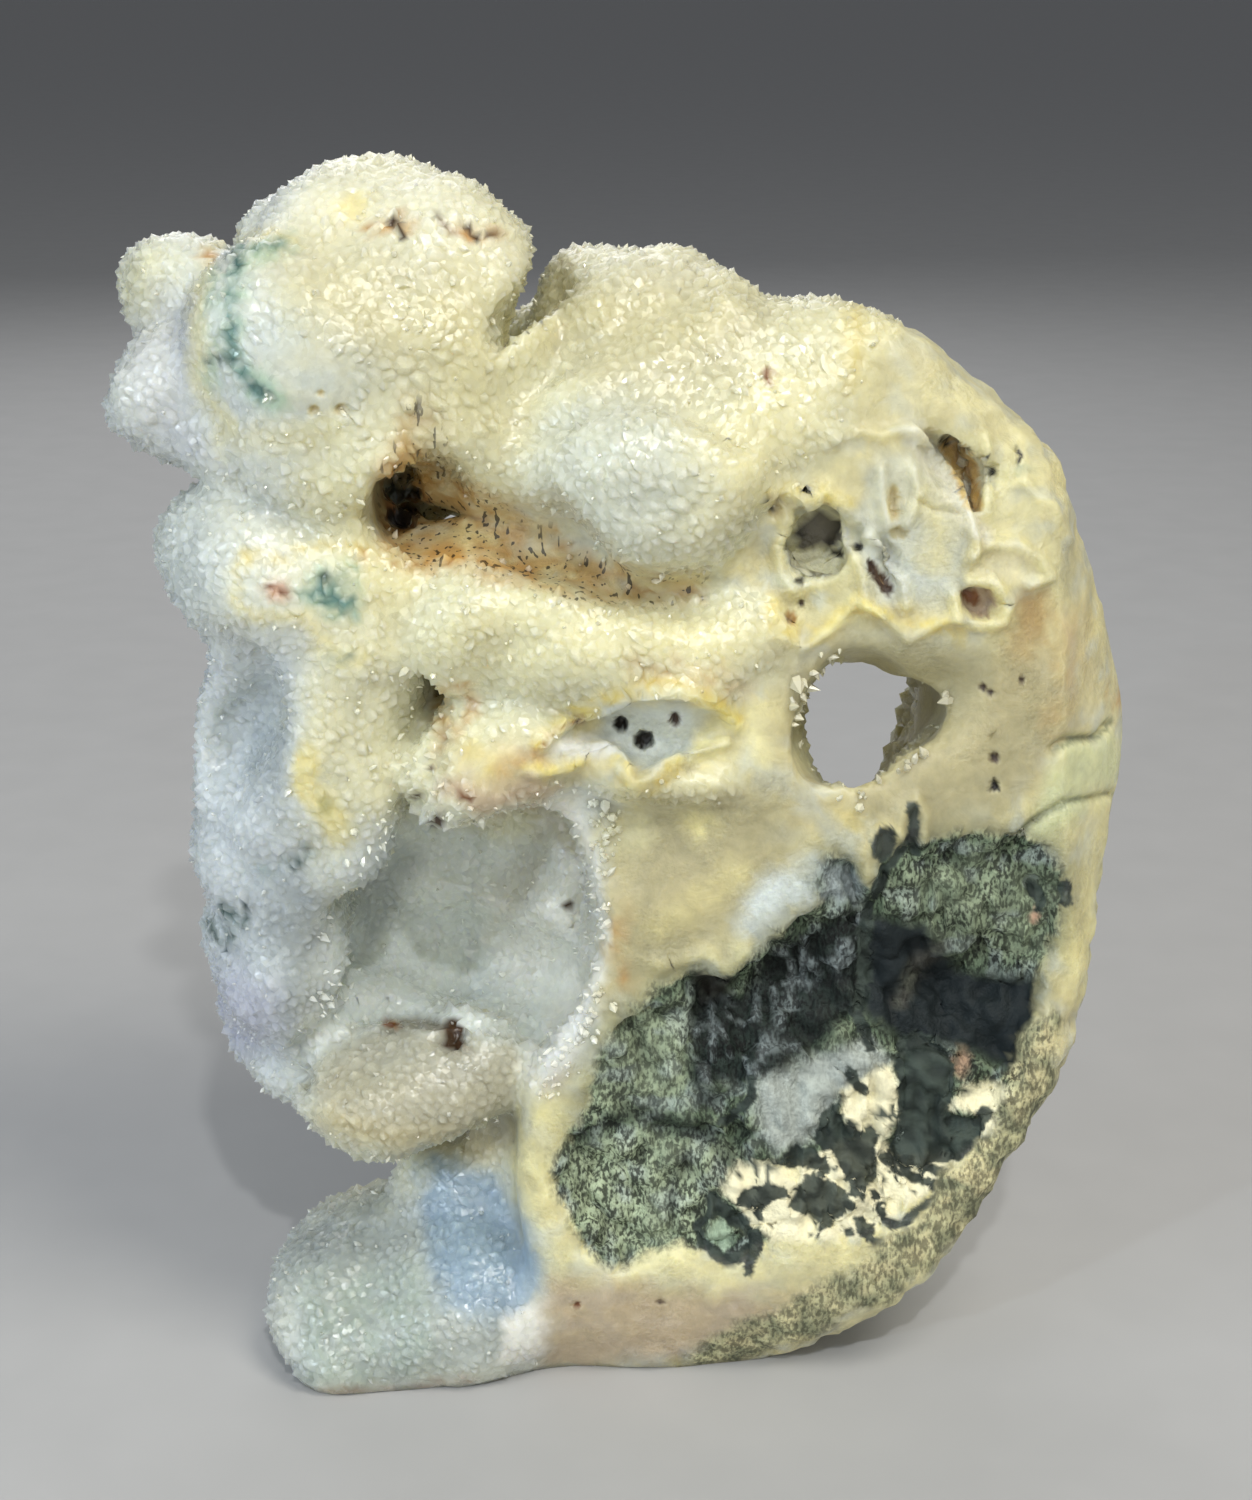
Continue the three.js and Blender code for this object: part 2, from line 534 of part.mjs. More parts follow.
// Larger flat facets: the edge whose loss changes the form least goes first, until few enough are left
function facet({ points, triangles }, wanted) {
  const around = points.map(() => []);
  const quadrics = points.map(() => new Float64Array(10));
  const changes = new Int32Array(points.length);
  const queue = new CheapestFirst();
  let left = triangles.length;

  const neighbours = (corner) => new Set(around[corner].flatMap((face) => triangles[face]));
  const sum = (a, b) => quadrics[a].map((value, i) => value + quadrics[b][i]);
  const offer = (a, b) => {
    const quadric = sum(a, b);
    const from = points[a];
    const to = points[b];
    const length = Math.hypot(to[0] - from[0], to[1] - from[1], to[2] - from[2]);
    const middle = from.map((value, axis) => (value + to[axis]) / 2);
    const options = [from, to, middle];
    const best = flattestPoint(quadric);
    if (best && Math.hypot(best[0] - middle[0], best[1] - middle[1], best[2] - middle[2]) < length) {
      options.push(best);
    }
    const errors = options.map((option) => planeError(quadric, option));
    const cost = Math.min(...errors);
    const target = options[errors.indexOf(cost)];
    const stamp = changes[a] + changes[b];
    queue.push({ cost: cost + SHORT_EDGE_WORTH * length * length, a, b, target, stamp });
  };
  const keepsShape = (corner, other, target) =>
    around[corner].every((face) => {
      const corners = triangles[face];
      if (corners.includes(other)) return true;
      const before = corners.map((index) => points[index]);
      const after = corners.map((index) => (index === corner ? target : points[index]));
      const normalBefore = faceNormal(...before);
      const normalAfter = faceNormal(...after);
      const facing = dot(normalBefore, normalAfter);
      const turned = facing < LEAST_FACING * Math.hypot(...normalBefore) * Math.hypot(...normalAfter);
      return !turned && fullness(after) > Math.min(LEAST_FULLNESS, 0.9 * fullness(before));
    });

  triangles.forEach((corners, face) => {
    const normal = faceNormal(...corners.map((index) => points[index]));
    const area = Math.hypot(...normal);
    corners.forEach((corner) => around[corner].push(face));
    if (area < 1e-9) return;
    const unit = normal.map((value) => value / area);
    const [x, y, z] = points[corners[0]];
    const offset = -(unit[0] * x + unit[1] * y + unit[2] * z);
    const care = y < 0 ? FRONT_CARE : BACK_CARE;
    corners.forEach((corner) => addPlane(quadrics[corner], unit, offset, area * care));
  });
  points.forEach((_, corner) => {
    for (const other of neighbours(corner)) {
      if (corner < other) offer(corner, other);
    }
  });

  while (left > wanted && queue.entries.length > 0) {
    const { a, b, target, stamp } = queue.pop();
    if (changes[a] < 0 || changes[b] < 0 || stamp !== changes[a] + changes[b]) continue;
    const nearA = neighbours(a);
    const shared = [...neighbours(b)].filter((corner) => corner !== a && corner !== b && nearA.has(corner));
    if (!nearA.has(b) || shared.length !== 2) continue;
    if (!keepsShape(a, b, target) || !keepsShape(b, a, target)) continue;
    quadrics[a] = sum(a, b);
    points[a] = target;
    const lost = around[a].filter((face) => triangles[face].includes(b));
    lost.forEach((face) => {
      triangles[face].forEach((corner) => {
        around[corner] = around[corner].filter((other) => other !== face);
      });
      triangles[face] = null;
    });
    around[b].forEach((face) => {
      triangles[face] = triangles[face].map((corner) => (corner === b ? a : corner));
      around[a].push(face);
    });
    around[b] = [];
    changes[a] += 1;
    changes[b] = -1e6;
    left -= lost.length;
    for (const other of neighbours(a)) {
      if (other !== a) offer(a, other);
    }
  }
  return { points, triangles: triangles.filter((corners) => corners) };
}

// A point that lies this close to the base is on it
function settleOnBase({ points, triangles }) {
  const nearBase = 0.06;
  const settled = points.map(([x, y, z]) => [x, y, Math.abs(z) < nearBase ? 0 : z]);
  return { points: settled, triangles };
}

function toGeometry({ points, triangles }) {
  const geometry = new THREE.BufferGeometry();
  geometry.setAttribute("position", new THREE.Float32BufferAttribute(points.flat(), 3));
  geometry.setIndex(triangles.flat());
  return mergeVertices(geometry, 1e-5);
}

// A closed solid for joining, with the seams of a three.js shape welded
function toSolid(wasm, geometry) {
  const bare = geometry.clone();
  bare.deleteAttribute("normal");
  bare.deleteAttribute("uv");
  const welded = mergeVertices(bare, 1e-4);
  const index = welded.index.array;
  const used = [];
  for (let i = 0; i < index.length; i += 3) {
    const [a, b, c] = [index[i], index[i + 1], index[i + 2]];
    if (a !== b && b !== c && c !== a) used.push(a, b, c);
  }
  const mesh = new wasm.Mesh({
    numProp: 3,
    vertProperties: new Float32Array(welded.attributes.position.array),
    triVerts: new Uint32Array(used),
  });
  return new wasm.Manifold(mesh);
}

// Where a line from the front, along +Y, first meets the stone, or null where it passes by
function frontPoint(x, z) {
  const nearEnough = 0.02;
  const stride = 0.6;
  const inFront = 6;
  let y = -DEPTH / 2 - inFront;
  let distance = stoneDistance(x, y, z);
  while (distance > nearEnough && y < DEPTH / 2) {
    y += Math.max(nearEnough, distance * stride);
    distance = stoneDistance(x, y, z);
  }
  return distance > nearEnough ? null : new THREE.Vector3(x, y, z);
}

function outward({ x, y, z }) {
  const step = 0.6;
  return new THREE.Vector3(
    stoneDistance(x + step, y, z) - stoneDistance(x - step, y, z),
    stoneDistance(x, y + step, z) - stoneDistance(x, y - step, z),
    stoneDistance(x, y, z + step) - stoneDistance(x, y, z - step),
  ).normalize();
}

// A six-sided quartz point along +Y, its root below the origin
function quartzPoint(length) {
  const radius = length * CRYSTAL_SLENDER;
  const profile = [
    new THREE.Vector2(0, -CRYSTAL_ROOT),
    new THREE.Vector2(radius, -CRYSTAL_ROOT),
    new THREE.Vector2(radius, length * CRYSTAL_NECK),
    new THREE.Vector2(0, length),
  ];
  return new THREE.LatheGeometry(profile, 6);
}

function crystalRow({ path, count, length }, roll) {
  const line = new THREE.CatmullRomCurve3(path.map(([x, z]) => new THREE.Vector3(x, 0, z)));
  const crystals = [];
  for (let i = 0; i < count; i++) {
    const spot = line.getPointAt((i + (1 - CRYSTAL_SPREAD) / 2 + CRYSTAL_SPREAD * roll()) / count);
    const sideways = CRYSTAL_JITTER * (roll() - 0.5);
    const upwards = CRYSTAL_JITTER * (roll() - 0.5);
    const foot = frontPoint(spot.x + sideways, spot.z + upwards);
    if (!foot) continue;
    const lean = new THREE.Vector3(roll() - 0.5, roll() - 0.5, roll() - 0.5).multiplyScalar(2 * CRYSTAL_TILT);
    const direction = outward(foot).add(lean).normalize();
    const turn = new THREE.Quaternion().setFromUnitVectors(new THREE.Vector3(0, 1, 0), direction);
    const spin = new THREE.Matrix4().makeRotationY(roll() * Math.PI);
    const crystal = quartzPoint(length * (1 - CRYSTAL_SPREAD / 2 + CRYSTAL_SPREAD * roll()));
    crystal.applyMatrix4(spin);
    crystal.applyQuaternion(turn);
    crystal.translate(foot.x, foot.y, foot.z);
    crystals.push(crystal);
  }
  return crystals;
}

async function makeStone() {
  const wasm = await Module();
  wasm.setup();
  const rough = settleOnBase(facet(skin(sampleGrid()), TRIANGLES));
  const roll = dice(7);
  let solid = toSolid(wasm, toGeometry(rough));
  for (const row of CRYSTAL_ROWS) {
    for (const crystal of crystalRow(row, roll)) {
      solid = solid.add(toSolid(wasm, crystal));
    }
  }
  const { vertProperties, triVerts } = solid.getMesh();
  const geometry = new THREE.BufferGeometry();
  geometry.setAttribute("position", new THREE.BufferAttribute(vertProperties, 3));
  geometry.setIndex(new THREE.BufferAttribute(triVerts, 1));
  geometry.computeVertexNormals();
  return geometry;
}

const chalcedonyMaterial = new THREE.MeshStandardMaterial({
  color: "#d8d1b8",
  roughness: 0.35,
  metalness: 0,
});

const stone = new THREE.Mesh(await makeStone(), chalcedonyMaterial);
stone.name = "chalcedony";
stone.position.set(-CENTRE_X, -CENTRE_Y, 0);

const group = new THREE.Group();
group.add(stone);

export default group;
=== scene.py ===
"""A drusy chalcedony specimen: the looks of the stone round its CAD form.

Millimetres in the tables and in the form, metres in Blender. +Z up, the viewer in front at -Y.
"""
import math

import bpy
import numpy as np
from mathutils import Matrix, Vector


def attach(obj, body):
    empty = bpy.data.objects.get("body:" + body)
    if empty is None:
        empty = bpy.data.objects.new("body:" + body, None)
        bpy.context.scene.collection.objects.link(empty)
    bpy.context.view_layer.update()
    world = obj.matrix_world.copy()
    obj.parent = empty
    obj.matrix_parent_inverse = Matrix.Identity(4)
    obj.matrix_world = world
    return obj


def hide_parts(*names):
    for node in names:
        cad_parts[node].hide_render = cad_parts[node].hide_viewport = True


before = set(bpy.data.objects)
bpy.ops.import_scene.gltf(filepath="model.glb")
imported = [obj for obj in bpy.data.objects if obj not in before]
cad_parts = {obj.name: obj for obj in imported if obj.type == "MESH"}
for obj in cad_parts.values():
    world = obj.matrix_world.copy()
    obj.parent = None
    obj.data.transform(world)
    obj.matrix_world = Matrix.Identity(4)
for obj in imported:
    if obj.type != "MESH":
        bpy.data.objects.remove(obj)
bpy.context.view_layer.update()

# Metres in a millimetre, and where the CAD's origin lies in the form's own frame
MM = 0.001
CENTRE = np.array([0.5, -0.8, 0.0])

# The photo's view of the stone: a camera that looks at the middle of the stone from in front
PHOTO_WIDTH = 1252
PHOTO_HEIGHT = 1500
LENS = 60.0
SENSOR = 36.0
CAMERA_DISTANCE = 250.0
CAMERA_ELEVATION = math.radians(18)
TARGET = np.array([0.0, 0.0, 60.0])
VIEW = np.array([0, math.cos(CAMERA_ELEVATION), -math.sin(CAMERA_ELEVATION)])
UP = np.array([0, math.sin(CAMERA_ELEVATION), math.cos(CAMERA_ELEVATION)])
CAMERA_PLACE = TARGET - CAMERA_DISTANCE * VIEW

# The flat body between its waxy front face and its rounded back
FRONT = -20.0
BACK = 12.0
EDGE_ROUND = 3.5
BACK_ROUND = 14.0
RECESS_LIP = 2.2
RECESS_FLOOR = 2.0

# How much of the slow waver the body takes, how softly the lumps join it, and how far away a lump still counts
BODY_WAVER = 0.35
LUMP_JOIN = 3
LUMP_REACH = 13

# Knobs of the druse, crags of the recess and chips along the right edge: size and height
KNOB_SIZE = 6.2
KNOB_HEIGHT = 1.1
CRAG_SIZE = 3.4
CRAG_HEIGHT = 2.0
CHIP_SIZE = 2.9
CHIP_HEIGHT = 1.1
SUGAR_FADE = 3.0

# Grid on which the skin is found, and the wanted edge lengths of its triangles
CELL = 0.55
BLOCK = 8
GRID_LOW = (-53.0, -30.0, -1.5 * CELL)
GRID_HIGH = (53.0, 30.0, 123.0)
FAR = 1e3
SMOOTH_EDGE = 0.85
RECESS_EDGE = 0.72
DRUSE_EDGE = 0.92
BACK_DRUSE_EDGE = 1.7
BOTTOM_EDGE = 3.0
TRIANGLES = 58000
MARK_REACHES = (6, 2.5)

# Crystal tips as shares of the edges round them: height, share of tall ones and their rise, lean
TIP_HEIGHT = 0.2
TALL_SHARE = 0.05
TALL_RISE = 1.7
TIP_LEAN = 0.12
# Creases between the tips: deepest drop and stray, in mm
CREASE_DROP = 0.06
CREASE_STRAY = 0.04
# The lowest tip and the lowest sugary face over the bottom, and the height over which the relief fades out there
LOWEST_TIP = 0.7
LOWEST_SUGAR = 0.3
BOTTOM_FADE = 1.5
FLAT_BOTTOM = 0.12

# Larger quartz points scattered over the druse, and how far a point leans
SCATTERED = 900
POINT_LEAN = 0.33
# Where the search for the front surface starts, its steps and how near is near enough
FRONT_START = -34.0
FRONT_STEPS = 60
FRONT_NEAR = 0.02

# Outlines of the body and of the green recess across X and Z
BODY_OUTLINE = [
    (6, 106.3), (12.5, 104.4), (18, 105.6), (24.5, 104.2), (31.5, 99), (40, 91.2), (45.8, 79), (55.2, 66),
    (49, 54), (45.4, 39), (38.8, 22.5), (27, 7.5), (10, -3), (-9, -6),
    (-10, 12), (-10, 31), (-3, 45), (-6, 58), (-12, 70), (-10, 90),
]
RECESS_OUTLINE = [
    (-6.3, 19.7), (-7.3, 23.1), (-5.8, 26.6), (-3.5, 30.8), (-3.1, 35.4), (0.3, 39.9), (5.7, 44.2), (8.8, 43.5),
    (12.1, 45.7), (15.4, 49), (17.7, 51), (18, 54.7), (19.3, 55.8), (21.6, 54.7), (22.8, 52.2), (24.1, 55.3),
    (26.9, 56.9), (32.8, 57.2), (38.5, 56.5), (41.5, 53), (41.8, 48), (40, 42.1), (39.4, 36.1), (37.2, 29.8),
    (33.9, 24.6), (29.2, 20.1), (24.1, 16.6), (18.9, 16.4), (12.9, 15.7), (10.7, 13.3), (4.9, 15), (-0.4, 12.6),
    (-4.5, 15),
]

# Swellings of the front face and bays of the recess: place, half sizes, rise or depth
FACE_RELIEF = {
    "eye_band": ((3, 60), (12, 5), -1.3),
    "under_window": ((12, 64), (7, 7), 1.2),
    "upper_right": ((34, 82), (9, 8), 1.0),
    "flat_left": ((2, 52), (7, 7), 1.0),
}
RECESS_BAYS = {
    "left": ((13, 42), (6.5, 5.5), 4.5),
    "right": ((31, 40.5), (8, 5.5), 5.5),
    "finger": ((22.5, 51), (1.8, 5), 2.6),
    "low_left": ((1, 22), (5, 6), 1.0),
    "patch": ((15.5, 31), (4, 4.5), -1.4),
    "veins": ((20, 20), (14, 4), -1.0),
}

# Lumps that are fused to the body: centre, half sizes, softness of the join, turn about Y in degrees
LUMPS = {
    "crown_ball": ((-28, -9.5, 100), (13.4, 13.5, 13.6), 2.5, 0),
    "crown_ridge": ((-20.4, -5, 108.8), (13, 12, 8.3), 2, -4),
    "crown_peak": ((-28, -5, 110.9), (7.5, 8, 5.8), 2, 10),
    "crown_left_knob": ((-41.2, -4, 105.8), (6, 8, 6), 1.4, 0),
    "crown_lower_left": ((-39.5, -8, 97.4), (7, 9, 7.2), 1.8, 0),
    "crown_right_bulge": ((-16.5, -10, 102.5), (10, 10, 8.5), 2.5, 0),
    "crown_chin": ((-26.5, -14, 93), (11, 9, 6.5), 2.5, 0),
    "cheek": ((-32.6, -11, 82), (10.3, 12, 8.6), 2, 0),
    "cheek_inner": ((-25, -13.5, 80), (8.5, 9.5, 10), 3, 0),
    "column_upper": ((-29.6, -11, 66), (11.3, 11, 15), 4, 0),
    "column_middle": ((-32.4, -9, 54.5), (8.2, 11, 10), 4, 0),
    "column_lower": ((-33.8, -5, 42.5), (7.4, 12, 11), 3, 0),
    "column_toe": ((-33.2, -2, 32.4), (8.4, 10, 7.2), 2.5, 0),
    "ball": ((2, -14.5, 91.5), (12, 11.5, 10), 3, 0),
    "ball_hood": ((0.2, -3, 99.8), (12, 13, 9.2), 2, 0),
    "hood_left": ((-3, -4, 102.4), (5.6, 9.5, 7.6), 2, 0),
    "saddle": ((-13.5, -9, 94.5), (8, 10, 9), 2.5, 0),
    "shoulder": ((15, -5, 94), (12, 12, 10), 4, 0),
    "ridge_left": ((-15, -14.5, 77.5), (7.6, 9, 7.8), 2, 0),
    "ridge_middle": ((-6, -15, 75.5), (10, 8, 7.4), 3, 0),
    "ridge_right": ((5, -14, 76), (10, 8, 7), 4, 0),
    "nose": ((-11.5, -16.6, 64.6), (9, 8, 6.6), 2, 8),
    "lower_lid": ((2, -17.6, 64.2), (9.5, 4.4, 2.2), 2, -3),
    "cavity_wall": ((-20, 10, 47), (22, 10, 24), 4, 0),
    "cavity_skirt": ((-28, 2, 36), (12, 9, 8.5), 3, 0),
    "cavity_bud_right": ((-10, 1.5, 47), (7.5, 7, 8.5), 2, 0),
    "column_inner": ((-25, -12.5, 56.5), (5.2, 6.5, 8.6), 2.5, -35),
    "cavity_bud_left": ((-22, 4, 49), (9, 5, 9), 3, 0),
    "shelf": ((-20.5, -9.5, 29.6), (12.6, 10.5, 6.2), 1.4, 4),
    "flank": ((-9, 3, 17), (9.5, 15, 20), 4, 0),
    "foot": ((-19.5, -8, 3.5), (14.8, 15, 10), 2.5, 10),
    "foot_end": ((-28.4, -9, 3.4), (8.6, 13.6, 8), 2.5, 0),
    "foot_hump": ((-17, -3, 14), (6.5, 8, 6), 2, 20),
    "back_upper_left": ((-24, 8, 95), (15, 12, 13), 4, 10),
    "back_upper_middle": ((0, 9, 92), (15, 11, 12), 4, 0),
    "back_upper_right": ((22, 8, 84), (14, 11, 13), 5, -20),
    "back_right": ((35, 6, 57), (11, 11, 17), 5, 0),
    "back_middle": ((3, 12, 73), (14, 9, 13), 4, 15),
    "back_lower_right": ((22, 10, 30), (15, 11, 14), 5, 20),
    "back_lower": ((0, 11, 20), (15, 11, 17), 4, 0),
    "back_left": ((-25, 9, 70), (13, 10, 12), 3, 0),
    "back_centre": ((2, 13, 48), (12, 8, 13), 3, 0),
}

# Hollows, gaps and pits: centre, half sizes, softness, turn about Y, pitch about X
HOLLOWS = {
    "cavity": ((-15.5, -14, 51), (12.5, 17, 13), 2.5, 16, 0),
    "cavity_low": ((-16, -9, 40), (13, 11, 6.5), 2, 0, 0),
    "under_shelf": ((-31, -4, 20.5), (14.5, 40, 3.6), 2, 4, 0),
    "under_ball_left": ((-18, -20, 88.5), (5.5, 9, 5.5), 2, 0, 0),
    "under_ball_middle": ((-10, -22.5, 85.5), (9, 9, 4.4), 2, -12, 0),
    "under_ball_right": ((2, -25, 82), (9.5, 8, 2.6), 2, -6, 0),
    "under_ball_hole": ((-20.5, -15, 89), (2.6, 10, 3.6), 1, 0, 0),
    "crown_notch": ((-9.1, -2, 106.8), (1.9, 60, 7.8), 0.7, -24, -8),
    "lobe_notch": ((-44.8, -8, 88.7), (5.6, 18, 1.7), 1, 8, 0),
    "slot": ((-18.3, -18, 71), (1.7, 6, 4.5), 0.8, -10, 0),
    "window_dish": ((27.6, -24.5, 70.8), (10, 10.5, 6), 2.5, 12, 0),
    "window": ((21.5, -17, 67.8), (5.9, 40, 6.8), 1.0, 0, -13),
    "window_right": ((24.4, -15, 68), (5.6, 40, 4), 0.8, 12, -13),
    "window_back": ((21, 13, 61.5), (9.5, 18, 10.5), 3, 0, 0),
    "column_hollow": ((-35.5, -21, 67.5), (5, 8, 8), 3, -20, 0),
    "dimple": ((14, -25, 84), (6, 6, 6), 4, 0, 0),
    "eye": ((1.8, -22.6, 68.6), (7.6, 4, 2.7), 0.8, -4, 0),
    "pit_round": ((17.4, -17.8, 85.7), (3.4, 4.4, 3.1), 0.8, 0, 0),
    "pit_slit": ((22.7, -18.4, 83.6), (1.4, 3, 2.7), 0.8, 20, 0),
    "pit_deep": ((29.6, -16.8, 93), (2, 4, 3.4), 0.8, 35, 0),
    "pit_corner": ((33, -15.8, 92.2), (1.5, 2.2, 1.6), 0.8, 0, 0),
    "pit_ring": ((32, -18, 80), (2.2, 1.8, 1.7), 0.8, 0, 0),
    "pit_small": ((15.3, -19.2, 79.5), (1.7, 2, 1.4), 0.8, 0, 0),
}

# What hangs over the hollows again: centre, half sizes, softness, turn about Y
OVERHANGS = {
    "column_lip": ((-26, -15, 60), (5.2, 6.5, 8.5), 2, -30),
    "nose_lip": ((-12.5, -17, 62.6), (6.5, 6, 3.3), 1.5, 8),
    "shelf_top": ((-21, -12.5, 30), (11.4, 7.5, 5.4), 1.5, 4),
}

# Rows of larger quartz points along ragged edges: path across X and Z, how many, how long, how wide the row
CRYSTAL_ROWS = {
    "window_left": ([(19.4, 75.2), (16.4, 71.8), (16.2, 68.4), (18.6, 63)], 34, 1.3, 0.9),
    "window_low": ([(20, 61.6), (24, 63), (27.6, 66), (30, 70)], 60, 1.2, 0.6),
    "cavity_right": ([(-2, 62), (-2.4, 55), (-3.2, 46), (-3, 41), (-8, 31)], 170, 0.9, 0.8),
    "column_edge": ([(-20.4, 75), (-19.8, 66), (-22.4, 58.5), (-27, 49), (-29.6, 41), (-26.4, 34)], 90, 1.0, 1.0),
    "nose_edge": ([(-17, 63), (-14, 60), (-10, 60.6), (-6, 61.6)], 40, 0.9, 0.8),
    "recess_rim": ([(-37, 92), (-24, 88), (-20, 82), (-8, 84), (4, 82)], 30, 1.0, 0.9),
    "shelf_edge": ([(-30, 25), (-20, 24), (-12, 26)], 24, 1.0, 0.9),
}

# The stone's colours
COLOURS = {
    "sugar": "#dad8b8", "snow": "#e6e6dc", "frost": "#c9d1d3", "slate": "#9fa9ac", "cream": "#e0daaa",
    "wax": "#c5bf96", "beige": "#c8bd92", "tan": "#b2925a", "butter": "#e6dca0", "yellow": "#dcc868",
    "ochre": "#bd8a40", "rust": "#80502a", "umber": "#45301f", "soot": "#1a1511", "teal": "#5c827a",
    "seafoam": "#a9c0a6", "olive": "#8b8b52", "pine": "#141c1a", "night": "#1b2325", "ink": "#243f3c",
    "moss": "#4f5c49", "dusk": "#838d8e", "rose": "#b9a68c", "khaki": "#b5ad86", "fog": "#b2b9b3",
    "celadon": "#ced2a6", "ash": "#6a665a", "bottle": "#3c4640", "wall": "#a5a18c", "lichen": "#8f9a80",
    "pink": "#c09a80", "bone": "#f2ecc8", "mist": "#c0c8c4", "lavender": "#bfc3cf", "honey": "#c6a66a",
    "haze": "#dbe4e3", "steel": "#8fa5b6",
}

# Colours whose patches are broken up into spots and streaks
MOTTLED = ("teal", "ink", "tan", "ochre", "seafoam", "yellow", "rust")
# Colours of the recess that stay free of ridges and grain
PLAIN_GROUNDS = ("bone", "fog", "slate", "pink", "seafoam", "soot", "night")

